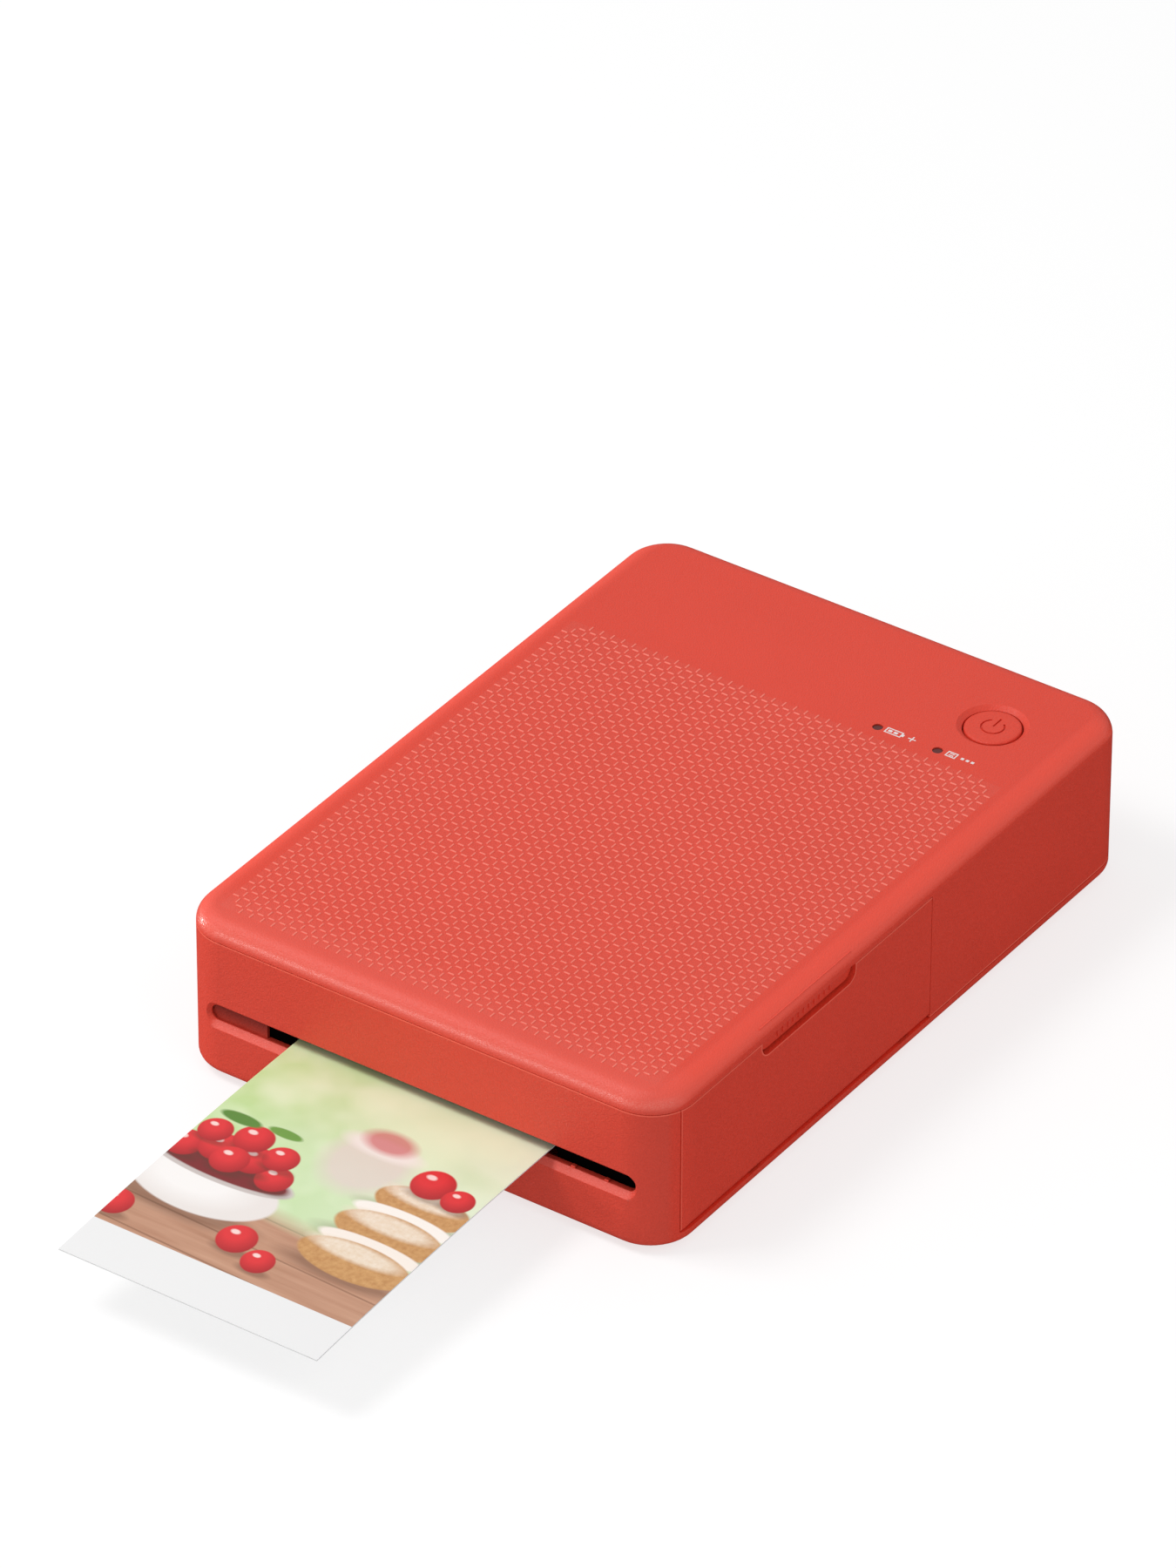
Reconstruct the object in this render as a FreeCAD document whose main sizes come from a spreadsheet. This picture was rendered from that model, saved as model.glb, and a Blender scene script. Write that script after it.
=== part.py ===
import FreeCAD, Part
import math
import os
import Sketcher
from FreeCAD import Placement, Rotation, Vector

# Compact photo printer: moulded case, side door over the ribbon cassette, paper cover underneath,
# print head over a platen, feed rollers with their gear train, and the print on its way out.
# +X is the door side, +Y the rear, +Z up. The origin lies on the table under the middle of the
# printer and its print together, so the case stands a little behind it.

doc = FreeCAD.newDocument("photo_printer")
sheet = doc.addObject("Spreadsheet::Sheet", "Sizes")

# Two places nearer than this count as one.
NEAR = 0.01

SIZES = [
    ("case_beyond_paper", 24.3), ("body_depth", 145.8), ("body_height", 32.9),
    ("foot_height", 1.1), ("corner_round", 8.8), ("top_round", 3.5), ("bottom_round", 1.8),
    ("wall", 2.2), ("roof", 2.0), ("floor_thickness", 2.0), ("cavity_round", 1.4),
    ("rim_seam_height", 29.3), ("lip_height", 3.5), ("seam_gap", 0.2),
    ("door_from_front", 5.6), ("door_length", 76.1), ("door_thickness", 2.0), ("door_gap", 0.15),
    ("notch_length", 28.6), ("notch_floor", 26.1), ("notch_round", 2.2), ("notch_setback", 0.8),
    ("notch_gap", 0.6), ("tab_thickness", 1.4), ("tab_side_gap", 0.3),
    ("hinge_pin_radius", 0.5), ("hinge_pin_length", 8.0), ("hinge_play", 0.05), ("hinge_edge_radius", 1.3),
    ("ear_from_front", 21.0), ("ear_from_rear", 6.0), ("ear_length", 3.0), ("ear_wall", 0.35),
    ("ear_pocket_rise", 2.2),
    ("ear_arm_height", 2.4), ("ear_arm_reach", 4.2), ("ear_post_width", 1.6), ("knuckle_length", 2.0),
    ("hook_width", 4.0), ("hook_reach", 1.5), ("hook_height", 1.6), ("hook_from_end", 7.0),
    ("slot_from_side", 5.5), ("slot_height", 5.4), ("slot_bevel", 1.1), ("slot_middle", 13.6),
    ("blank_length", 11.5), ("blank_thickness", 0.6), ("blank_height", 6.0),
    ("paper_width", 53.6), ("paper_length", 86.0), ("paper_thickness", 0.25), ("path_height", 13.8),
    ("print_out", 66.6), ("print_droop", 2.4), ("sheet_count", 10.0), ("stack_from_front", 28.9),
    ("cover_beyond_paper", 2.4), ("cover_from_front", 25.9), ("cover_length", 94.0), ("cover_gap", 0.15),
    ("cover_pin_radius", 0.45), ("cover_pin_length", 5.0),
    ("plates_beyond_paper", 3.4), ("plate_thickness", 1.0), ("plate_height", 28.4), ("plate_from_front", 3.9),
    ("plate_length", 84.5), ("pressure_plate_bottom", 3.9), ("pressure_plate_thickness", 0.5),
    ("stack_gap", 0.2), ("press_inside_paper", 1.8), ("pressure_plate_length", 76.0),
    ("leaf_height", 0.2), ("leaf_width", 6.0),
    ("roller_gap", 0.15), ("shaft_play", 0.05), ("bush_wall", 0.9), ("bush_length", 2.2),
    ("exit_from_front", 8.4), ("exit_radius", 2.2), ("exit_shaft_radius", 1.0),
    ("exit_tyre_width", 6.0), ("exit_tyre_pitch", 17.0), ("idle_radius", 1.6), ("idle_shaft_radius", 0.7),
    ("exit_to_capstan", 24.5), ("capstan_radius", 2.2), ("journal_radius", 1.3), ("grip_inside_paper", 0.8),
    ("pinch_radius", 1.9), ("pinch_shaft_radius", 1.0), ("pinch_beyond_paper", 0.7),
    ("capstan_to_platen", 12.0), ("platen_radius", 3.0), ("platen_beyond_paper", 1.0),
    ("capstan_to_pickup", 30.0), ("pickup_radius", 2.8), ("pickup_shaft_radius", 1.0), ("pickup_width", 14.0),
    ("guide_thickness", 0.6), ("guide_below_path", 0.4), ("guide_beyond_paper", 2.5), ("guide_length", 105.0),
    ("guide_start", 5.5), ("window_gap", 0.4), ("ramp_length", 14.5), ("ramp_low", 6.6), ("ramp_high", 12.6),
    ("ramp_step", 3.0),
    ("gear_module", 0.5), ("gear_width", 2.6), ("gear_layer_gap", 0.6), ("gear_stand_off", 1.0),
    ("gear_backlash", 0.12), ("gear_bore_radius", 1.05), ("post_radius", 1.0), ("gear_hub_radius", 2.1),
    ("tube_radius", 6.0), ("tube_wall", 0.7), ("take_up_forward", 8.0), ("tube_spacing", 40.0),
    ("tubes_beyond_paper", 10.7), ("tube_slot", 2.6), ("rail_height", 5.0), ("rail_thickness", 1.2),
    ("grip_thickness", 2.0), ("grip_overhang", 6.0), ("spool_radius", 2.4), ("spool_journal_radius", 1.6),
    ("spool_bore_radius", 1.0), ("dog_radius", 0.9), ("dog_length", 2.0), ("disc_gap", 0.3),
    ("supply_roll_radius", 4.7), ("take_up_roll_radius", 3.5), ("film_beyond_paper", 0.7),
    ("film_thickness", 0.1), ("film_over_print", 0.1), ("film_rise", 5.4), 
    ("cassette_window", 0.4),
    ("head_beyond_paper", 1.2), ("strip_depth", 6.0), ("strip_gap", 0.12), ("strip_thickness", 1.3),
    ("sink_depth", 13.0), ("sink_front", 5.0), ("sink_top", 28.0), ("fin_groove", 1.2), ("fin_depth", 7.0),
    ("arm_width", 40.0), ("arm_thickness", 1.0), ("pivot_behind_platen", 30.6), ("pivot_height", 27.3),
    ("pivot_radius", 1.0), ("lug_radius", 1.7), ("lug_width", 2.0),
    ("spring_radius", 1.6), ("spring_wire", 0.35), ("spring_pitch", 0.75), ("spring_coils", 6.0),
    ("motor_radius", 5.5), ("motor_length", 22.0), ("motor_behind_platen", 37.5), ("motor_height", 20.5),
    ("motor_shaft_radius", 0.75), ("motor_hole_radius", 1.6), ("motor_cap_radius", 3.2),
    ("motor_cap_length", 1.5),
    ("tie_radius", 1.0), ("tie_height", 26.0), ("tie_from_end", 6.0),
    ("shelf_beyond_paper", 6.2), ("shelf_thickness", 1.0), ("shelf_length", 44.0), ("shelf_height", 15.8),
    ("shelf_behind_plates", 4.0), ("battery_width", 52.0), ("battery_length", 38.0), ("battery_height", 6.2),
    ("battery_round", 1.5), ("battery_from_shelf", 2.0),
    ("board_from_side", 14.1), ("board_depth", 22.0), ("board_thickness", 1.2), ("board_height", 8.0),
    ("board_from_rear", 5.2), ("stand_radius", 2.2), ("stand_inset", 3.5),
    ("socket_width", 8.9), ("socket_height", 3.2), ("socket_depth", 7.4), ("socket_wall", 0.3),
    ("socket_clearance", 0.15), ("chip_width", 9.0), ("chip_height", 1.1), ("chip_pitch", 18.0),
    ("button_from_side", 17.4), ("button_from_rear", 18.35), ("button_radius", 5.2), ("button_gap", 0.3),
    ("dish_radius", 6.5), ("dish_depth", 0.7), ("button_drop", 0.35), ("button_dome", 0.15),
    ("button_flange", 0.8), ("flange_thickness", 0.6), ("button_travel", 0.5), ("travel_play", 0.1),
    ("stem_radius", 1.6), ("switch_size", 6.0), ("switch_height", 2.2), ("plunger_radius", 1.5),
    ("plunger_height", 0.6),
    ("light_from_side", 33.7), ("light_spacing", 12.6), ("light_from_rear", 30.45), ("light_radius", 0.92),
    ("light_drop", 0.2), ("light_flange_radius", 1.6), ("light_flange", 0.8), ("light_play", 0.05),
    ("led_size", 1.6), ("led_height", 0.6),
    ("button_board_top", 27.0), ("button_board_thickness", 1.0), ("button_board_from_side", 37.6),
    ("button_board_width", 25.0), ("button_board_depth", 21.0), ("button_board_from_rear", 13.4),
    ("board_boss_radius", 1.5), ("board_boss_inset", 1.5), ("boss_from_button", 9.2),
    ("screw_from_side", 9.1), ("screw_y", 60.0), ("boss_radius", 3.0), ("boss_split", 14.0), ("boss_gap", 0.1),
    ("screw_radius", 1.3), ("screw_length", 16.0), ("screw_head_radius", 2.2), ("screw_head_height", 1.3),
    ("foot_radius", 4.2), ("overrun", 5.0),
]


class Size:
    """A length with the expression that gives it from the sheet, and its value in millimetres."""

    def __init__(self, text, amount):
        self.text = text
        self.amount = amount

    def joined(self, other, sign, swap=False):
        other = other if isinstance(other, Size) else Size(repr(float(other)), float(other))
        left, right = (other, self) if swap else (self, other)
        amounts = {
            "+": lambda: left.amount + right.amount,
            "-": lambda: left.amount - right.amount,
            "*": lambda: left.amount * right.amount,
            "/": lambda: left.amount / right.amount,
        }
        return Size("(" + left.text + " " + sign + " " + right.text + ")", amounts[sign]())

    def __add__(self, other):
        return self.joined(other, "+")

    def __radd__(self, other):
        return self.joined(other, "+", swap=True)

    def __sub__(self, other):
        return self.joined(other, "-")

    def __rsub__(self, other):
        return self.joined(other, "-", swap=True)

    def __mul__(self, other):
        return self.joined(other, "*")

    def __rmul__(self, other):
        return self.joined(other, "*", swap=True)

    def __truediv__(self, other):
        return self.joined(other, "/")

    def __neg__(self):
        return Size("(-" + self.text + ")", -self.amount)

    def __float__(self):
        return self.amount

    def root(self):
        return Size("sqrt(" + self.text + ")", math.sqrt(self.amount))


class SheetSizes:
    """Every driving dimension, each a Size that reads its own cell."""


zero = Size("0.0", 0.0)
size = SheetSizes()
for row, (size_name, size_value) in enumerate(SIZES, start=1):
    sheet.set("A" + str(row), size_name)
    sheet.set("B" + str(row), str(size_value))
    sheet.setAlias("B" + str(row), size_name)
    setattr(size, size_name, Size("Sizes." + size_name, float(size_value)))
doc.recompute()

sub_parts = []
origin_shift = size.print_out / 2

# Rotations that lay a part's own Z axis along X or Y of the printer.
ALONG_X = Rotation(Vector(1, 1, 1), 120)
ALONG_Y = Rotation(Vector(1, 0, 0), -90)
ALONG_Z = Rotation()


def place(thing, x=zero, y=zero, z=zero, turn=ALONG_Z):
    """Turn a thing and tie its place to the sheet."""
    thing.Placement = Placement(Vector(float(x), float(y), float(z)), turn)
    for axis, value in (("x", x), ("y", y), ("z", z)):
        thing.setExpression(".Placement.Base." + axis, value.text)
    thing.addProperty("App::PropertyString", "PlaceY", "Base")
    thing.PlaceY = y.text
    return thing


def finish(thing, name):
    """Name a finished sub-part, and move it to where the case stands behind the origin."""
    thing.Label = name
    y_text = thing.PlaceY if hasattr(thing, "PlaceY") else "0.0"
    thing.setExpression(".Placement.Base.y", y_text + " + " + origin_shift.text)
    sub_parts.append(thing)
    return thing


def box(name, x, y, z):
    """A block between two places on each axis."""
    block = doc.addObject("Part::Box", name)
    for prop, (low, high) in (("Length", x), ("Width", y), ("Height", z)):
        block.setExpression(prop, (high - low).text)
        setattr(block, prop, float(high - low))
    return place(block, x[0], y[0], z[0])


def rod(name, radius, start, length, x=zero, y=zero, z=zero, turn=ALONG_X):
    """A cylinder that starts at a place along its own axis."""
    bar = doc.addObject("Part::Cylinder", name)
    bar.setExpression("Radius", radius.text)
    bar.setExpression("Height", length.text)
    bar.Radius = float(radius)
    bar.Height = float(length)
    if turn is ALONG_X:
        return place(bar, start, y, z, turn)
    if turn is ALONG_Y:
        return place(bar, x, start, z, turn)
    return place(bar, x, y, start, turn)


def fuse(name, shapes):
    joined = doc.addObject("Part::MultiFuse", name)
    joined.Shapes = shapes
    joined.Refine = True
    return joined


def common(name, shapes):
    shared = doc.addObject("Part::MultiCommon", name)
    shared.Shapes = shapes
    shared.Refine = True
    return shared


def cut(name, base, tools):
    tool = tools[0] if len(tools) == 1 else fuse(name + "_tools", tools)
    result = doc.addObject("Part::Cut", name)
    result.Base = base
    result.Tool = tool
    result.Refine = True
    return result


def group(name, things):
    """Separate solids of one sub-part, such as four feet."""
    together = doc.addObject("Part::Compound", name)
    together.Links = things
    return together


def plane_of(body, role):
    return [item for item in body.Origin.OriginFeatures if item.Role == role][0]


def outline(body, name, role, points, height=None):
    """A closed outline of straight edges, each corner held at two sizes from the origin."""
    sketch = body.newObject("Sketcher::SketchObject", name)
    sketch.AttachmentSupport = [(plane_of(body, role), "")]
    sketch.MapMode = "FlatFace"
    if height is not None:
        sketch.setExpression(".AttachmentOffset.Base.z", height.text)
    count = len(points)
    for index in range(count):
        ends = [Vector(float(a), float(b), 0) for a, b in (points[index], points[(index + 1) % count])]
        sketch.addGeometry(Part.LineSegment(ends[0], ends[1]), False)
    for index in range(count):
        sketch.addConstraint(Sketcher.Constraint("Coincident", index, 2, (index + 1) % count, 1))
    for index, (across, up) in enumerate(points):
        for kind, value in (("DistanceX", across), ("DistanceY", up)):
            held = sketch.addConstraint(Sketcher.Constraint(kind, -1, 1, index, 1, float(value)))
            sketch.setExpression("Constraints[" + str(held) + "]", value.text)
    return sketch


def pad(body, name, sketch, length, reversed_way=False):
    feature = body.newObject("PartDesign::Pad", name)
    feature.Profile = sketch
    feature.Length = float(length)
    feature.setExpression("Length", length.text)
    feature.Reversed = reversed_way
    doc.recompute()
    return feature


def turned(name, points):
    """A part turned about its own Z axis, from half of its section."""
    body = doc.addObject("PartDesign::Body", name)
    sketch = outline(body, name + "_section", "XZ_Plane", points)
    feature = body.newObject("PartDesign::Revolution", name + "_turn")
    feature.Profile = sketch
    feature.ReferenceAxis = (sketch, ["V_Axis"])
    feature.Angle = 360
    return body


def rounded(body, name, radius, wanted):
    """Round the edges of the body's tip that the test picks."""
    doc.recompute()
    plain = body.Tip
    edges = ["Edge" + str(i + 1) for i, edge in enumerate(plain.Shape.Edges) if wanted(edge)]
    feature = body.newObject("PartDesign::Fillet", name)
    feature.Base = (plain, edges)
    feature.Radius = float(radius)
    feature.setExpression("Radius", radius.text)
    doc.recompute()
    return feature


def is_upright(edge):
    ends = edge.Vertexes
    return len(ends) == 2 and abs(ends[0].Z - ends[1].Z) > NEAR and abs(ends[0].X - ends[1].X) < NEAR


def lies_at(height):
    level = float(height)
    return lambda edge: all(abs(vertex.Z - level) < NEAR for vertex in edge.Vertexes)


def rounded_block(name, x, y, z, corner, top=None, bottom=None):
    """A block with rounded upright corners, and a rounded top or bottom edge where given."""
    body = doc.addObject("PartDesign::Body", name)
    corners = [(x[0], y[0]), (x[1], y[0]), (x[1], y[1]), (x[0], y[1])]
    sketch = outline(body, name + "_plan", "XY_Plane", corners, z[0])
    pad(body, name + "_rise", sketch, z[1] - z[0])
    rounded(body, name + "_corners", corner, is_upright)
    if top is not None:
        rounded(body, name + "_top_edge", top, lies_at(z[1]))
    if bottom is not None:
        rounded(body, name + "_bottom_edge", bottom, lies_at(z[0]))
    return body


def extruded(name, role, points, start, length, reversed_way=False):
    """A profile drawn on one of the printer's own planes and drawn out to a length."""
    body = doc.addObject("PartDesign::Body", name)
    sketch = outline(body, name + "_profile", role, points, start)
    pad(body, name + "_length", sketch, length, reversed_way)
    return body


# Places that several sub-parts share.
half_paper = size.paper_width / 2
half_width = half_paper + size.case_beyond_paper
half_depth = size.body_depth / 2
front = -half_depth
base_level = size.foot_height
floor_top = base_level + size.floor_thickness
roof_under = size.body_height - size.roof
inside_right = half_width - size.wall
inside_front = front + size.wall
door_front = front + size.door_from_front
door_rear = door_front + size.door_length
plate_inner = half_paper + size.plates_beyond_paper
guide_half = half_paper + size.guide_beyond_paper
film_half = half_paper + size.film_beyond_paper
head_half = half_paper + size.head_beyond_paper
platen_half = half_paper + size.platen_beyond_paper
cover_half = half_paper + size.cover_beyond_paper
button_x = half_width - size.button_from_side
plate_outer = plate_inner + size.plate_thickness
paper_bottom = size.path_height - size.paper_thickness / 2
paper_top = size.path_height + size.paper_thickness / 2
beyond = half_width + size.overrun

exit_y = front + size.exit_from_front
exit_z = paper_bottom - size.roller_gap - size.exit_radius
idle_z = paper_top + size.roller_gap + size.idle_radius
capstan_y = exit_y + size.exit_to_capstan
capstan_z = paper_bottom - size.roller_gap - size.capstan_radius
pinch_z = paper_top + size.roller_gap + size.pinch_radius
platen_y = capstan_y + size.capstan_to_platen
platen_z = paper_bottom - size.roller_gap - size.platen_radius
stack_bottom = size.pressure_plate_bottom + size.pressure_plate_thickness + size.stack_gap
stack_top = stack_bottom + size.sheet_count * size.paper_thickness
pickup_y = capstan_y + size.capstan_to_pickup
pickup_z = stack_top + size.stack_gap + size.pickup_radius

# Numbers of teeth, and the gears' two layers beside the left side plate.
CAPSTAN_TEETH = 20
EXIT_TEETH = 20
EXIT_IDLER_TEETH = 29
FEED_IDLER_TEETH = 21
PICKUP_TEETH = 20
TAKE_UP_TEETH = 32
REDUCTION_SMALL_TEETH = 14
REDUCTION_LARGE_TEETH = 44
PINION_TEETH = 12
inner_layer = -(plate_outer + size.gear_stand_off + size.gear_width)
outer_layer = inner_layer - size.gear_layer_gap - size.gear_width


def mesh_distance(teeth_a, teeth_b):
    return size.gear_module * float(teeth_a + teeth_b) / 2


take_up_distance = mesh_distance(CAPSTAN_TEETH, TAKE_UP_TEETH)
take_up_y = capstan_y - size.take_up_forward
take_up_rise = (take_up_distance * take_up_distance - size.take_up_forward * size.take_up_forward).root()
take_up_z = capstan_z + take_up_rise
supply_y = take_up_y + size.tube_spacing
supply_z = take_up_z
exit_idler_y = (exit_y + capstan_y) / 2
exit_idler_z = (exit_z + capstan_z) / 2
motor_y = platen_y + size.motor_behind_platen
motor_z = size.motor_height
pivot_y = platen_y + size.pivot_behind_platen
pivot_z = size.pivot_height


def third_corner(first, second, first_distance, second_distance):
    """Where a gear stands that meshes with two others, on the upper side of the line between them."""
    across = second[0] - first[0]
    up = second[1] - first[1]
    apart = (across * across + up * up).root()
    square = first_distance * first_distance - second_distance * second_distance + apart * apart
    along = square / (2 * apart)
    aside = (first_distance * first_distance - along * along).root()
    return (
        first[0] + (along * across - aside * up) / apart,
        first[1] + (along * up + aside * across) / apart,
    )


def feed_idler_places():
    """The two idlers between capstan and pick-up, level with each other and raised alike."""
    across = pickup_y - capstan_y
    up = pickup_z - capstan_z
    apart = (across * across + up * up).root()
    middle = mesh_distance(FEED_IDLER_TEETH, FEED_IDLER_TEETH)
    outer = mesh_distance(CAPSTAN_TEETH, FEED_IDLER_TEETH)
    along = (apart - middle) / 2
    aside = (outer * outer - along * along).root()
    places = []
    for step in (along, apart - along):
        y = capstan_y + (step * across - aside * up) / apart
        z = capstan_z + (step * up + aside * across) / apart
        places.append((y, z))
    return places


front_idler, rear_idler = feed_idler_places()
reduction = third_corner(
    (pickup_y, pickup_z),
    (motor_y, motor_z),
    mesh_distance(PICKUP_TEETH, REDUCTION_SMALL_TEETH),
    mesh_distance(REDUCTION_LARGE_TEETH, PINION_TEETH),
)


# Case shells

def outer_block(name):
    return rounded_block(
        name, (-half_width, half_width), (front, half_depth), (base_level, size.body_height),
        size.corner_round, size.top_round, size.bottom_round,
    )


def inner_block(name):
    return rounded_block(
        name, (-inside_right, inside_right), (inside_front, -inside_front), (floor_top, roof_under),
        size.corner_round - size.wall, size.cavity_round,
    )


def whole_shell(name):
    return cut(name, outer_block(name + "_outside"), [inner_block(name + "_inside")])


def everywhere(low, high):
    """A block wider and deeper than the case, between two heights."""
    return ((-beyond, beyond), (front - size.overrun, half_depth + size.overrun), (low, high))


screw_x = half_width - size.screw_from_side
screw_places = [(sx * screw_x, sy * size.screw_y) for sx in (-1.0, 1.0) for sy in (-1.0, 1.0)]
button_y = half_depth - size.button_from_rear
light_y = half_depth - size.light_from_rear
light_left = half_width - size.light_from_side
light_places = [light_left, light_left + size.light_spacing]
board_left = half_width - size.button_board_from_side
board_right = board_left + size.button_board_width
board_back = half_depth - size.button_board_from_rear
board_front = board_back - size.button_board_depth
notch_middle = (door_front + door_rear) / 2
notch_front = notch_middle - size.notch_length / 2
notch_rear = notch_middle + size.notch_length / 2


def top_shell():
    """The top cover: its rim, and behind the side panels the whole upper case."""
    shell = whole_shell("top_case")
    above = box("above_rim", *everywhere(size.rim_seam_height + size.seam_gap, size.body_height + size.overrun))
    behind = box(
        "behind_door", (-beyond, beyond), (door_rear + size.seam_gap, half_depth + size.overrun),
        (size.lip_height + size.seam_gap, size.body_height),
    )
    cover = common("top_cover", [shell, fuse("top_region", [above, behind])])
    tab_outside = half_width - size.notch_setback
    tab = rounded_plate(
        "notch_back", tab_outside - size.tab_thickness, size.tab_thickness,
        (notch_front + size.tab_side_gap, notch_rear - size.tab_side_gap),
        (size.notch_floor + size.notch_gap, roof_under + size.roof / 2),
        only_below=size.notch_floor + size.notch_round,
    )
    bosses = []
    for index, (x, y) in enumerate(screw_places):
        low = size.boss_split + size.boss_gap
        bosses.append(rod("top_boss_%d" % index, size.boss_radius, low, roof_under - low + size.roof / 2,
                          x=x, y=y, turn=ALONG_Z))
    inset = size.board_boss_inset
    stand_places = [
        (board_left + inset, board_front + inset), (board_right - inset, board_front + inset),
        (board_left + inset, board_back - inset), (button_x - size.boss_from_button, board_back - inset),
    ]
    for index, (x, y) in enumerate(stand_places):
        low = size.button_board_top
        bosses.append(rod("board_boss_%d" % index, size.board_boss_radius, low, roof_under - low + size.roof / 2,
                          x=x, y=y, turn=ALONG_Z))
    body = fuse("top_with_bosses", [cover, tab] + bosses)
    tools = [dish_cutter()]
    for index, (x, y) in enumerate(screw_places):
        tools.append(rod("top_screw_hole_%d" % index, size.screw_radius, size.boss_split,
                         size.screw_length - size.boss_split + base_level + size.screw_head_height,
                         x=x, y=y, turn=ALONG_Z))
    for index, x in enumerate(light_places):
        tools.append(rod("light_hole_%d" % index, size.light_radius + size.light_play,
                         roof_under - size.overrun / 2, size.roof + size.overrun, x=x, y=light_y, turn=ALONG_Z))
    tools.append(socket_hole())
    finish(cut("top_shell", body, tools), "top_shell")


def dish_cutter():
    """The round hole for the button, opening into a shallow dish."""
    hole = size.button_radius + size.button_gap
    high = size.body_height + size.dish_depth
    spread = size.dish_radius - hole
    dish_low = size.body_height - size.dish_depth
    points = [
        (zero, roof_under - size.roof), (hole, roof_under - size.roof), (hole, dish_low),
        (hole + spread, size.body_height), (hole + spread * 2.0, high), (zero, high),
    ]
    return place(turned("dish_cutter", points), button_x, button_y)


def socket_hole():
    """The opening for the charging socket in the rear wall."""
    width = size.socket_width / 2 + size.socket_clearance
    low = size.board_height + size.board_thickness - size.socket_clearance
    high = low + size.socket_height + size.socket_clearance * 2.0
    body = doc.addObject("PartDesign::Body", "socket_hole")
    corners = [(-width, low), (width, low), (width, high), (-width, high)]
    start = -(half_depth + size.overrun)
    pad(body, "socket_hole_depth", outline(body, "socket_hole_outline", "XZ_Plane", corners, start),
        size.wall + size.overrun * 1.5)
    rounded(body, "socket_hole_ends", (size.socket_height - size.socket_clearance) / 2, runs_along_y)
    return body


def runs_along_y(edge):
    ends = edge.Vertexes
    return len(ends) == 2 and abs(ends[0].Y - ends[1].Y) > NEAR


def bevel_cutter():
    """The sloped mouth of the slot, from its wide outline on the front face to the narrow one inside."""
    body = doc.addObject("PartDesign::Body", "bevel_cutter")
    sections = []
    for name, grow, start in (
        ("bevel_wide", size.slot_bevel, -(front - size.slot_bevel)),
        ("bevel_narrow", -size.slot_bevel, -(front + size.slot_bevel)),
    ):
        half = half_width - size.slot_from_side + grow
        low = size.slot_middle - size.slot_height / 2 - grow
        high = size.slot_middle + size.slot_height / 2 + grow
        radius = size.slot_height / 2 + grow
        sections.append(pill_outline(body, name, half, radius, (low + high) / 2, start))
    loft = body.newObject("PartDesign::AdditiveLoft", "bevel_loft")
    loft.Profile = sections[0]
    loft.Sections = [sections[1]]
    loft.Ruled = True
    return body


def pill_outline(body, name, half, radius, middle, start):
    """A flat outline with round ends, upright, drawn on the printer's front plane."""
    sketch = body.newObject("Sketcher::SketchObject", name)
    sketch.AttachmentSupport = [(plane_of(body, "XZ_Plane"), "")]
    sketch.MapMode = "FlatFace"
    sketch.setExpression(".AttachmentOffset.Base.z", start.text)
    reach = float(half - radius)
    r = float(radius)
    level = float(middle)
    right = Part.Circle(Vector(reach, level, 0), Vector(0, 0, 1), r)
    left = Part.Circle(Vector(-reach, level, 0), Vector(0, 0, 1), r)
    sketch.addGeometry(Part.LineSegment(Vector(-reach, level - r, 0), Vector(reach, level - r, 0)), False)
    sketch.addGeometry(Part.ArcOfCircle(right, -math.pi / 2, math.pi / 2), False)
    sketch.addGeometry(Part.LineSegment(Vector(reach, level + r, 0), Vector(-reach, level + r, 0)), False)
    sketch.addGeometry(Part.ArcOfCircle(left, math.pi / 2, math.pi * 1.5), False)
    for first in range(4):
        second = (first + 1) % 4
        sketch.addConstraint(Sketcher.Constraint("Coincident", first, 2, second, 1))
    # The third point of an arc is its centre.
    for arc, across in ((1, half - radius), (3, -(half - radius))):
        for kind, value in (("DistanceX", across), ("DistanceY", middle)):
            held = sketch.addConstraint(Sketcher.Constraint(kind, -1, 1, arc, 3, float(value)))
            sketch.setExpression("Constraints[" + str(held) + "]", value.text)
        held = sketch.addConstraint(Sketcher.Constraint("Radius", arc, r))
        sketch.setExpression("Constraints[" + str(held) + "]", radius.text)
    for line, line_end, arc in ((0, 2, 1), (2, 1, 1), (2, 2, 3), (0, 1, 3)):
        sketch.addConstraint(Sketcher.Constraint("Vertical", line, line_end, arc, 3))
    return sketch


def slot_tools():
    """The straight part of the slot and its bevelled mouth."""
    body = doc.addObject("PartDesign::Body", "slot_throat")
    radius = size.slot_height / 2 - size.slot_bevel
    half = half_width - size.slot_from_side - size.slot_bevel
    depth = size.wall + size.overrun / 4
    throat = pill_outline(body, "slot_throat_outline", half, radius, size.slot_middle, -(front - size.slot_bevel))
    pad(body, "slot_throat_depth", throat, depth + size.slot_bevel, reversed_way=True)
    return [body, bevel_cutter()]


hinge_radius = size.hinge_edge_radius
hinge_x = half_width - hinge_radius
hinge_z = size.lip_height + size.door_gap + hinge_radius
ear_places = [door_front + size.ear_from_front, door_rear - size.ear_from_rear - size.ear_length]
ear_radius = size.hinge_pin_radius + size.ear_wall


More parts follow.
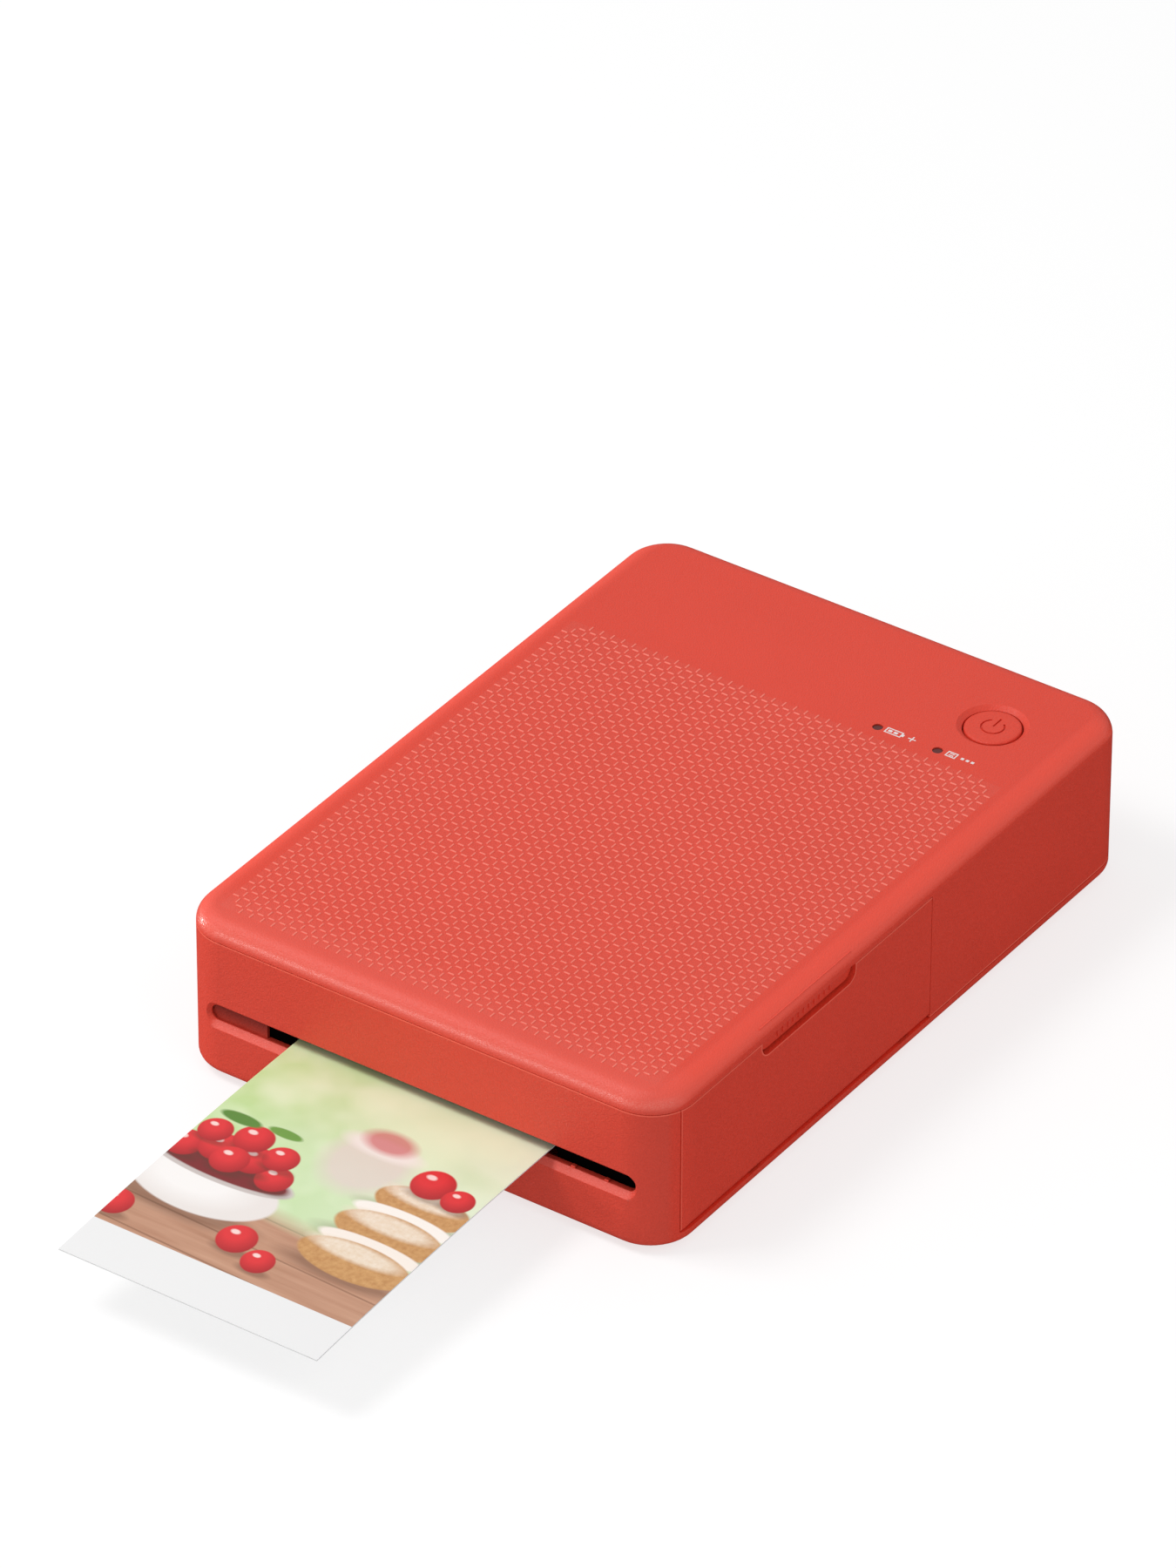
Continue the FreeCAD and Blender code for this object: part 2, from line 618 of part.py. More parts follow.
def hinge_ear(index, start):
    """A hook that reaches over from inside the case and holds a hinge pin."""
    post_left = hinge_x - size.ear_arm_reach
    post_right = post_left + size.ear_post_width
    arm_top = hinge_z + size.ear_arm_height
    arm_low = arm_top - ear_radius
    points = [
        (post_left, floor_top - size.floor_thickness / 2), (post_right, floor_top - size.floor_thickness / 2),
        (post_right, arm_low), (hinge_x - ear_radius, hinge_z), (hinge_x, hinge_z),
        (hinge_x - ear_radius / 2, hinge_z + ear_radius), (hinge_x - ear_radius, arm_top), (post_left, arm_top),
    ]
    hook = extruded("ear_hook_%d" % index, "XZ_Plane", points, -start, size.ear_length, reversed_way=True)
    ring = rod("ear_ring_%d" % index, ear_radius, start, size.ear_length, x=hinge_x, z=hinge_z, turn=ALONG_Y)
    return fuse("ear_%d" % index, [hook, ring])


def pin_bore(name, start, length):
    return rod(name, size.hinge_pin_radius + size.hinge_play, start, length, x=hinge_x, z=hinge_z, turn=ALONG_Y)


def bottom_shell():
    """The lower case: floor, lip, front face with the paper slot, and the left side's front panel."""
    shell = whole_shell("bottom_case")
    below = box("below_lip", *everywhere(zero, size.lip_height))
    ahead = box(
        "front_panels", (-beyond, beyond), (front - size.overrun, door_rear),
        (zero, size.rim_seam_height),
    )
    tray = common("bottom_tray", [shell, fuse("bottom_region", [below, ahead])])
    throat, bevel = slot_tools()
    opening = box(
        "door_opening", (inside_right - size.wall * 2.0, beyond), (door_front, door_rear + size.seam_gap),
        (size.lip_height, size.rim_seam_height + size.seam_gap),
    )
    open_tray = cut("open_tray", tray, [throat, bevel, opening, cover_opening()])
    additions = [hinge_ear(index, start) for index, start in enumerate(ear_places)]
    low = floor_top - size.floor_thickness / 2
    for index, (x, y) in enumerate(screw_places):
        additions.append(rod("bottom_boss_%d" % index, size.boss_radius, low, size.boss_split - low,
                             x=x, y=y, turn=ALONG_Z))
    for index, (x, y) in enumerate(board_stand_places()):
        additions.append(rod("board_stand_%d" % index, size.stand_radius, low, size.board_height - low,
                             x=x, y=y, turn=ALONG_Z))
    slot_end = size.slot_from_side - half_width
    additions.append(box(
        "slot_blank", (slot_end, slot_end + size.slot_bevel + size.blank_length),
        (inside_front - size.wall / 4, inside_front + size.blank_thickness),
        (size.slot_middle - size.blank_height / 2, size.slot_middle + size.blank_height / 2),
    ))
    tools = []
    for index, (x, y) in enumerate(screw_places):
        tools.append(rod("bottom_screw_hole_%d" % index, size.screw_radius, zero, size.boss_split + size.overrun,
                         x=x, y=y, turn=ALONG_Z))
        tools.append(rod("screw_recess_%d" % index, size.screw_head_radius, zero,
                         base_level + size.screw_head_height, x=x, y=y, turn=ALONG_Z))
    for index, start in enumerate(ear_places):
        tools.append(pin_bore("ear_bore_%d" % index, start - size.overrun / 4,
                              size.ear_length + size.overrun / 2))
    finish(cut("bottom_shell", fuse("tray_with_bosses", [open_tray] + additions), tools), "bottom_shell")


def board_stand_places():
    half = half_width - size.board_from_side - size.stand_inset
    rear = half_depth - size.board_from_rear - size.stand_inset
    ahead = rear - size.board_depth + size.stand_inset * 2.0
    return [(x, y) for x in (-half, half) for y in (ahead, rear)]


cover_front = front + size.cover_from_front
cover_rear = cover_front + size.cover_length
cover_pin_y = cover_rear - size.cover_gap - size.floor_thickness / 2
cover_pin_z = base_level + size.floor_thickness / 2


def cover_opening():
    """The way into the paper compartment, with the holes for the cover's pins beside it."""
    way = box("cover_way", (-cover_half, cover_half), (cover_front, cover_rear),
              (zero, floor_top + size.floor_thickness / 4))
    bore = rod("cover_pin_way", size.cover_pin_radius, -(cover_half + size.cover_pin_length / 2),
               cover_half * 2.0 + size.cover_pin_length, y=cover_pin_y, z=cover_pin_z)
    return fuse("cover_openings", [way, bore])


# Side door

def side_door():
    """The door over the cassette, rounded along its lower edge about the hinge axis."""
    low = size.lip_height + size.door_gap
    skin = outer_block("door_outside")
    panel = box(
        "door_panel", (half_width - size.door_thickness, beyond),
        (door_front + size.door_gap, door_rear + size.seam_gap - size.door_gap), (hinge_z, size.rim_seam_height),
    )
    skirt = rod("door_round_edge", hinge_radius, door_front + size.door_gap,
                size.door_length + size.seam_gap - size.door_gap * 2.0, x=hinge_x, z=hinge_z, turn=ALONG_Y)
    outside_only = box(
        "door_skirt_side", (half_width - size.door_thickness, beyond), (door_front, door_rear + size.seam_gap),
        (low - size.door_gap, hinge_z),
    )
    skirt_skin = common("door_skirt", [skirt, outside_only])
    plain = common("door_plain", [skin, fuse("door_region", [panel, skirt_skin])])
    additions = []
    for index, start in enumerate(ear_places):
        for side, at in (("front", start - size.knuckle_length - size.door_gap),
                         ("rear", start + size.ear_length + size.door_gap)):
            additions.append(rod("knuckle_%s_%d" % (side, index), hinge_radius, at, size.knuckle_length,
                                 x=hinge_x, z=hinge_z, turn=ALONG_Y))
    hook_top = size.rim_seam_height - size.hook_height
    for index, at in enumerate((door_front + size.hook_from_end,
                                door_rear - size.hook_from_end - size.hook_width)):
        right = half_width - size.door_thickness / 2
        additions.append(box("hook_%d" % index, (half_width - size.door_thickness - size.hook_reach, right),
                             (at, at + size.hook_width), (hook_top - size.hook_height, hook_top)))
    solid = fuse("door_with_knuckles", [plain] + additions)
    notch = rounded_notch()
    tools = [notch]
    for index, start in enumerate(ear_places):
        tools.append(pin_bore("door_bore_%d" % index, start - size.knuckle_length - size.overrun,
                              size.ear_length + size.knuckle_length * 2.0 + size.overrun * 2.0))
        tools.append(box(
            "ear_pocket_%d" % index,
            (half_width - size.door_thickness - size.overrun, hinge_x + ear_radius + size.door_gap * 2.0),
            (start - size.door_gap, start + size.ear_length + size.door_gap),
            (low - size.overrun, hinge_z + size.ear_pocket_rise),
        ))
    finish(cut("side_door", solid, tools), "side_door")


def rounded_notch():
    """The finger notch in the door's upper edge."""
    top = size.rim_seam_height + size.overrun
    body = doc.addObject("PartDesign::Body", "door_notch")
    low = size.notch_floor
    corners = [(notch_front, low), (notch_rear, low), (notch_rear, top), (notch_front, top)]
    start = half_width - size.door_thickness - size.overrun
    sketch = outline(body, "door_notch_outline", "YZ_Plane", corners, start)
    pad(body, "door_notch_depth", sketch, size.door_thickness + size.overrun * 2.0)
    level = float(size.notch_floor)

    def low_end(edge):
        ends = edge.Vertexes
        return abs(ends[0].X - ends[-1].X) > NEAR and abs(ends[0].Z - level) < NEAR

    rounded(body, "door_notch_corners", size.notch_round, low_end)
    return body


def door_hinge_pins():
    pins = []
    for index, start in enumerate(ear_places):
        at = start + size.ear_length / 2 - size.hinge_pin_length / 2
        pins.append(rod("door_pin_%d" % index, size.hinge_pin_radius, at, size.hinge_pin_length,
                        x=hinge_x, z=hinge_z, turn=ALONG_Y))
    finish(group("door_hinge_pins", pins), "door_hinge_pins")


# Paper cover and what feeds from it

def paper_cover():
    """The hinged cover under the paper, with its rear edge rounded about the pins."""
    half = cover_half - size.cover_gap
    plate = box("cover_plate", (-half, half), (cover_front + size.cover_gap, cover_pin_y),
                (base_level, floor_top))
    edge = rod("cover_round_edge", size.floor_thickness / 2, -half, half * 2.0, y=cover_pin_y, z=cover_pin_z)
    bore = rod("cover_bore", size.cover_pin_radius + size.hinge_play, -half - size.cover_gap,
               half * 2.0 + size.cover_gap * 2.0, y=cover_pin_y, z=cover_pin_z)
    grip_y = cover_front + size.leaf_width
    grip = box("cover_grip", (-size.leaf_width, size.leaf_width), (grip_y, grip_y + size.leaf_width / 2),
               (zero, base_level + size.floor_thickness / 3))
    finish(cut("paper_cover", fuse("cover_solid", [plate, edge]), [bore, grip]), "paper_cover")
    pins = []
    for index, side in enumerate((-1.0, 1.0)):
        middle = side * cover_half
        pins.append(rod("cover_pin_%d" % index, size.cover_pin_radius, middle - size.cover_pin_length / 2,
                        size.cover_pin_length, y=cover_pin_y, z=cover_pin_z))
    finish(group("cover_hinge_pins", pins), "cover_hinge_pins")


def paper_feed():
    """The stack of sheets, and the sprung plate that presses it up."""
    start = front + size.stack_from_front
    half = size.paper_width / 2
    finish(box("paper_stack", (-half, half), (start, start + size.paper_length), (stack_bottom, stack_top)),
           "paper_stack")
    low = size.pressure_plate_bottom
    plate_half = half_paper - size.press_inside_paper
    plate = box("press_plate", (-plate_half, plate_half), (start, start + size.pressure_plate_length),
                (low, low + size.pressure_plate_thickness))
    leaves = []
    for index, x in enumerate((-plate_half / 2, plate_half / 2)):
        leaves.append(box(
            "leaf_%d" % index, (x - size.leaf_width / 2, x + size.leaf_width / 2),
            (start + size.leaf_width, start + size.pressure_plate_length - size.leaf_width * 2.0),
            (low - size.leaf_height, low),
        ))
    finish(fuse("pressure_plate", [plate] + leaves), "pressure_plate")


def photo_print():
    """The finished print, flat inside the printer and drooping a little outside."""
    shape = doc.addObject("Part::Feature", "photo_print")
    half = float(size.paper_width) / 2
    thick = float(size.paper_thickness)
    out = float(size.print_out)
    drop = float(size.print_droop)
    inside = float(size.paper_length) - out
    bend = (out * out + drop * drop) / (2 * drop)
    slant = math.asin(out / bend)

    def side(offset):
        """Points of one face: rear end, front wall, middle of the bend and far end."""
        radius = bend + offset
        middle = Vector(0, -radius * math.sin(slant / 2), radius * math.cos(slant / 2) - bend)
        far = Vector(0, -radius * math.sin(slant), radius * math.cos(slant) - bend)
        return Vector(0, inside, offset), Vector(0, 0, offset), middle, far

    top = side(thick / 2)
    bottom = side(-thick / 2)
    edges = [
        Part.LineSegment(top[0], top[1]).toShape(),
        Part.Arc(top[1], top[2], top[3]).toShape(),
        Part.LineSegment(top[3], bottom[3]).toShape(),
        Part.Arc(bottom[3], bottom[2], bottom[1]).toShape(),
        Part.LineSegment(bottom[1], bottom[0]).toShape(),
        Part.LineSegment(bottom[0], top[0]).toShape(),
    ]
    shape.Shape = Part.Face(Part.Wire(edges)).extrude(Vector(half * 2, 0, 0))
    place(shape, -size.paper_width / 2, front, size.path_height)
    finish(shape, "photo_print")


# Gears

def gear_face(teeth, phase, bore):
    """A spur gear's outline with involute flanks, one tooth's middle at the given angle."""
    module = float(size.gear_module)
    addendum_share, dedendum_share = 0.85, 1.2
    pressure = math.radians(20)
    pitch_radius = module * teeth / 2
    base_radius = pitch_radius * math.cos(pressure)
    tip_radius = pitch_radius + addendum_share * module
    root_radius = pitch_radius - dedendum_share * module
    half_tooth = math.pi / (2 * teeth) - float(size.gear_backlash) / (4 * pitch_radius)
    pitch_involute = math.tan(pressure) - pressure

    def half_angle(radius):
        angle = math.acos(min(1.0, base_radius / radius))
        return half_tooth + pitch_involute - (math.tan(angle) - angle)

    def point(radius, angle):
        return Vector(radius * math.cos(angle), radius * math.sin(angle), 0)

    flank_start = max(base_radius, root_radius)
    flank_middle = (flank_start + tip_radius) / 2
    edges = []
    for tooth in range(teeth):
        centre = phase + 2 * math.pi * tooth / teeth
        rising = [point(r, centre - half_angle(r)) for r in (flank_start, flank_middle, tip_radius)]
        falling = [point(r, centre + half_angle(r)) for r in (tip_radius, flank_middle, flank_start)]
        root_in = point(root_radius, centre - half_angle(flank_start))
        root_out = point(root_radius, centre + half_angle(flank_start))
        next_centre = centre + 2 * math.pi / teeth
        next_root = point(root_radius, next_centre - half_angle(flank_start))
        between = point(root_radius, centre + math.pi / teeth)
        if base_radius > root_radius:
            edges.append(Part.LineSegment(root_in, rising[0]).toShape())
        edges.append(Part.Arc(*rising).toShape())
        edges.append(Part.Arc(rising[2], point(tip_radius, centre), falling[0]).toShape())
        edges.append(Part.Arc(*falling).toShape())
        if base_radius > root_radius:
            edges.append(Part.LineSegment(falling[2], root_out).toShape())
        edges.append(Part.Arc(root_out, between, next_root).toShape())
    hole = Part.Wire(Part.Circle(Vector(0, 0, 0), Vector(0, 0, 1), float(bore)).toShape())
    return Part.makeFace([Part.Wire(edges), hole], "Part::FaceMakerBullseye")


def meshed_phase(phase, teeth, other_teeth, place_a, place_b):
    """The angle of a tooth on the second gear that leaves its teeth between those of the first."""
    direction = math.atan2(float(place_b[1]) - float(place_a[1]), float(place_b[0]) - float(place_a[0]))
    radius = float(size.gear_module) * teeth / 2
    other_radius = float(size.gear_module) * other_teeth / 2
    pitch = math.pi * float(size.gear_module)
    return direction + math.pi - ((phase - direction) * radius + pitch / 2) / other_radius


def gear(name, wheels, bore, at):
    """A gear, or a stepped pair on one hub. Each wheel is (teeth, phase, start along X, width)."""
    first = float(wheels[0][2])
    solid = None
    for teeth, phase, start, width in wheels:
        wheel = gear_face(teeth, phase, bore).extrude(Vector(0, 0, float(width)))
        wheel.translate(Vector(0, 0, float(start) - first))
        solid = wheel if solid is None else solid.fuse(wheel)
    if len(wheels) > 1:
        solid = solid.removeSplitter()
    thing = doc.addObject("Part::Feature", name)
    thing.Shape = solid
    place(thing, wheels[0][2], at[0], at[1], ALONG_X)
    return thing


def gears():
    capstan = (capstan_y, capstan_z)
    take_up = (take_up_y, take_up_z)
    exit_roller = (exit_y, exit_z)
    exit_idler = (exit_idler_y, exit_idler_z)
    pickup = (pickup_y, pickup_z)
    motor = (motor_y, motor_z)
    two_layers = size.gear_width * 2.0 + size.gear_layer_gap
    wide = size.gear_width
    capstan_phase = 0.0
    take_up_phase = meshed_phase(capstan_phase, CAPSTAN_TEETH, TAKE_UP_TEETH, capstan, take_up)
    idler_phase = meshed_phase(capstan_phase, CAPSTAN_TEETH, EXIT_IDLER_TEETH, capstan, exit_idler)
    exit_phase = meshed_phase(idler_phase, EXIT_IDLER_TEETH, EXIT_TEETH, exit_idler, exit_roller)
    front_phase = meshed_phase(capstan_phase, CAPSTAN_TEETH, FEED_IDLER_TEETH, capstan, front_idler)
    rear_phase = meshed_phase(front_phase, FEED_IDLER_TEETH, FEED_IDLER_TEETH, front_idler, rear_idler)
    pickup_phase = meshed_phase(rear_phase, FEED_IDLER_TEETH, PICKUP_TEETH, rear_idler, pickup)
    small_phase = meshed_phase(pickup_phase, PICKUP_TEETH, REDUCTION_SMALL_TEETH, pickup, reduction)
    pinion_phase = meshed_phase(small_phase, REDUCTION_LARGE_TEETH, PINION_TEETH, reduction, motor)

    play = size.shaft_play / 2
    finish(gear("capstan_gear", [(CAPSTAN_TEETH, capstan_phase, outer_layer, two_layers)],
                size.journal_radius, capstan), "capstan_gear")
    take_up_wheel = gear("take_up_wheel", [(TAKE_UP_TEETH, take_up_phase, outer_layer, wide)],
                         size.dog_radius / 2, take_up)
    hub_end = -plate_inner
    hub_start = outer_layer + size.gear_width / 2
    hub = rod("take_up_hub", size.gear_hub_radius, hub_start, hub_end - hub_start, y=take_up_y, z=take_up_z)
    dog = rod("take_up_dog", size.dog_radius, hub_start, hub_end + size.dog_length - hub_start,
              y=take_up_y, z=take_up_z)
    finish(fuse("take_up_gear", [take_up_wheel, hub, dog]), "take_up_gear")
    finish(gear("exit_idler_gear", [(EXIT_IDLER_TEETH, idler_phase, inner_layer, wide)],
                size.gear_bore_radius, exit_idler), "exit_idler_gear")
    finish(gear("exit_gear", [(EXIT_TEETH, exit_phase, inner_layer, wide)],
                size.exit_shaft_radius + play, exit_roller), "exit_gear")
    finish(gear("feed_idler_front", [(FEED_IDLER_TEETH, front_phase, inner_layer, wide)],
                size.gear_bore_radius, front_idler), "feed_idler_front")
    finish(gear("feed_idler_rear", [(FEED_IDLER_TEETH, rear_phase, inner_layer, wide)],
                size.gear_bore_radius, rear_idler), "feed_idler_rear")
    finish(gear("pickup_gear", [(PICKUP_TEETH, pickup_phase, inner_layer, wide)],
                size.pickup_shaft_radius + play, pickup), "pickup_gear")
    finish(gear("reduction_gear", [
        (REDUCTION_LARGE_TEETH, small_phase, outer_layer, wide),
        (REDUCTION_SMALL_TEETH, small_phase, outer_layer + wide, wide + size.gear_layer_gap),
    ], size.gear_bore_radius, reduction), "reduction_gear")
    finish(gear("motor_pinion", [(PINION_TEETH, pinion_phase, outer_layer, wide)],
                size.motor_shaft_radius + play, motor), "motor_pinion")

    posts = []
    reaches = (
        (exit_idler, inner_layer), (front_idler, inner_layer), (rear_idler, inner_layer), (reduction, outer_layer),
    )
    for index, (at, layer) in enumerate(reaches):
        start = layer - size.gear_layer_gap / 2
        posts.append(rod("post_%d" % index, size.post_radius, start, -plate_outer - start, y=at[0], z=at[1]))
    finish(group("gear_posts", posts), "gear_posts")


# Rollers. Each shaft runs in a bush in each side plate.

shafts = [
    ("exit", size.exit_shaft_radius, exit_y, exit_z),
    ("capstan", size.journal_radius, capstan_y, capstan_z),
    ("platen", size.journal_radius, platen_y, platen_z),
    ("pickup", size.pickup_shaft_radius, pickup_y, pickup_z),
    ("idle", size.idle_shaft_radius, exit_y, idle_z),
    ("pinch", size.pinch_shaft_radius, capstan_y, pinch_z),
]
right_end = plate_outer + (size.bush_length - size.plate_thickness) * 2.0 / 3.0


def shaft_bushes():
    """Plastic bushes in the side plates, one for each end of each shaft."""
    bushes = []
    start = plate_inner - (size.bush_length - size.plate_thickness) / 2
    for name, radius, y, z in shafts:
        for side, at in (("right", start), ("left", -start - size.bush_length)):
            label = name + "_bush_" + side
            sleeve = rod(label + "_sleeve", radius + size.bush_wall, at, size.bush_length, y=y, z=z)
            bore = rod(label + "_bore", radius + size.shaft_play, at - size.bush_length,
                       size.bush_length * 3.0, y=y, z=z)
            bushes.append(cut(label, sleeve, [bore]))
    finish(group("shaft_bushes", bushes), "shaft_bushes")


def rollers():
    geared = -outer_layer + size.gear_layer_gap / 2
    geared_inner = -inner_layer + size.gear_layer_gap / 4

    def shaft(name, radius, left, y, z):
        return rod(name, radius, -left, left + right_end, y=y, z=z)

    def barrel(name, radius, length, bore, y, z):
        sleeve = rod(name + "_sleeve", radius, -length / 2, length, y=y, z=z)
        hole = rod(name + "_hole", bore, -length, length * 2.0, y=y, z=z)
        return cut(name, sleeve, [hole])

    core = shaft("capstan_core", size.journal_radius, geared, capstan_y, capstan_z)
    grip_half = half_paper - size.grip_inside_paper
    grip = rod("capstan_grip", size.capstan_radius, -grip_half, grip_half * 2.0,
               y=capstan_y, z=capstan_z)
    finish(fuse("capstan_shaft", [core, grip]), "capstan_shaft")

    pinch_half = half_paper + size.pinch_beyond_paper
    pinch_core = shaft("pinch_core", size.pinch_shaft_radius, right_end, capstan_y, pinch_z)
    pinch_sleeve = rod("pinch_sleeve", size.pinch_radius, -pinch_half, pinch_half * 2.0,
                       y=capstan_y, z=pinch_z)
    finish(fuse("pinch_roller", [pinch_core, pinch_sleeve]), "pinch_roller")

    finish(shaft("platen_shaft", size.journal_radius, right_end, platen_y, platen_z), "platen_shaft")
    finish(barrel("platen_sleeve", size.platen_radius, platen_half * 2.0, size.journal_radius,
                  platen_y, platen_z), "platen_sleeve")

    finish(shaft("exit_shaft", size.exit_shaft_radius, geared_inner, exit_y, exit_z), "exit_shaft")
    tyres = []
    wheels = []
    for index, step in enumerate((-1.0, 0.0, 1.0)):
        left = step * size.exit_tyre_pitch - size.exit_tyre_width / 2
        for kind, radius, bore, level, found in (
            ("exit_tyre", size.exit_radius, size.exit_shaft_radius, exit_z, tyres),
            ("idle_wheel", size.idle_radius, size.idle_shaft_radius, idle_z, wheels),
        ):
            label = kind + "_%d" % index
            ring = rod(label + "_ring", radius, left, size.exit_tyre_width, y=exit_y, z=level)
            hole = rod(label + "_hole", bore, left - size.exit_tyre_width, size.exit_tyre_width * 3.0,
                       y=exit_y, z=level)
            found.append(cut(label, ring, [hole]))
    finish(group("exit_tyres", tyres), "exit_tyres")
    idle_core = shaft("idle_core", size.idle_shaft_radius, right_end, exit_y, idle_z)
    finish(fuse("exit_idlers", [idle_core] + wheels), "exit_idlers")

    finish(shaft("pickup_shaft", size.pickup_shaft_radius, geared_inner, pickup_y, pickup_z), "pickup_shaft")
    finish(barrel("pickup_tyre", size.pickup_radius, size.pickup_width, size.pickup_shaft_radius,
                  pickup_y, pickup_z), "pickup_tyre")


# Chassis

def side_plates():
    """Steel side plates with seats for the bushes, and on the right the way in for the cassette."""
    start = front + size.plate_from_front
    end = start + size.plate_length
    for side, low, high in (("left", -plate_outer, -plate_inner), ("right", plate_inner, plate_outer)):
        sheet_metal = box(side + "_sheet", (low, high), (start, end), (floor_top, size.plate_height))
        tools = []
        for name, radius, y, z in shafts:
            tools.append(rod(side + "_seat_" + name, radius + size.bush_wall, low - size.overrun,
                             size.plate_thickness + size.overrun * 2.0, y=y, z=z))
        for index, (y, z, radius) in enumerate((
            (pivot_y, pivot_z, size.pivot_radius),
            (start + size.tie_from_end, size.tie_height, size.tie_radius),
            (end - size.tie_from_end / 3, size.tie_height, size.tie_radius),
        )):
            tools.append(rod(side + "_rod_hole_%d" % index, radius, low - size.overrun,
                             size.plate_thickness + size.overrun * 2.0, y=y, z=z))
        if side == "left":
            tools.append(rod("hub_hole", size.gear_hub_radius + size.shaft_play * 2.0, low - size.overrun,
                             size.plate_thickness + size.overrun * 2.0, y=take_up_y, z=take_up_z))
            tools.append(rod("motor_shaft_hole", size.motor_hole_radius, low - size.overrun,
                             size.plate_thickness + size.overrun * 2.0, y=motor_y, z=motor_z))
        else:
            reach = size.tube_radius + size.cassette_window
            for label, y in (("take_up", take_up_y), ("supply", supply_y)):
                tools.append(rod(label + "_way", reach, low - size.overrun,
                                 size.plate_thickness + size.overrun * 2.0, y=y, z=take_up_z))
            tools.append(box(
                "cassette_way", (low - size.overrun, high + size.overrun), (take_up_y, supply_y),
                (take_up_z - size.rail_height / 2 - size.cassette_window, size.plate_height),
            ))
            tools.append(box(
                "cassette_way_top", (low - size.overrun, high + size.overrun),
                (take_up_y - reach, supply_y + reach), (take_up_z, size.plate_height + size.overrun),
            ))
        finish(cut(side + "_side_plate", sheet_metal, tools), side + "_side_plate")
    ties = []
    for index, y in enumerate((start + size.tie_from_end, end - size.tie_from_end / 3)):
        ties.append(rod("tie_%d" % index, size.tie_radius, -plate_outer, plate_outer * 2.0,
                        y=y, z=size.tie_height))
    finish(group("frame_ties", ties), "frame_ties")


def paper_guide():
    """The flat guide under the paper's path, with windows for the rollers."""
    top = paper_bottom - size.guide_below_path / 2
    low = top - size.guide_thickness
    start = capstan_y - size.guide_start
    half = guide_half
    plate = box("guide_plate", (-half, half), (start, start + size.guide_length), (low, top))
    tools = []
    for name, radius, y, reach_x in (
        ("capstan", size.capstan_radius, capstan_y, platen_half),
        ("platen", size.platen_radius, platen_y, platen_half),
        ("pickup", size.pickup_radius, pickup_y, size.pickup_width / 2),
    ):
        reach = radius + size.window_gap
        side = reach_x + size.window_gap
        tools.append(box(name + "_window", (-side, side), (y - reach, y + reach),
                         (low - size.overrun, top + size.overrun)))
    finish(cut("paper_guide", plate, tools), "paper_guide")


def feed_ramp():
    """The slope that lifts each sheet from the stack to the exit rollers."""
    rear = front + size.stack_from_front - size.window_gap * 2.0
    ahead = rear - size.ramp_length
    points = [
        (ahead, floor_top), (rear, floor_top), (rear, size.ramp_low), (ahead + size.ramp_step, size.ramp_high),
        (ahead, size.ramp_high),
    ]
    half = guide_half
    finish(extruded("feed_ramp", "YZ_Plane", points, -half, half * 2.0), "feed_ramp")


# Ribbon cassette

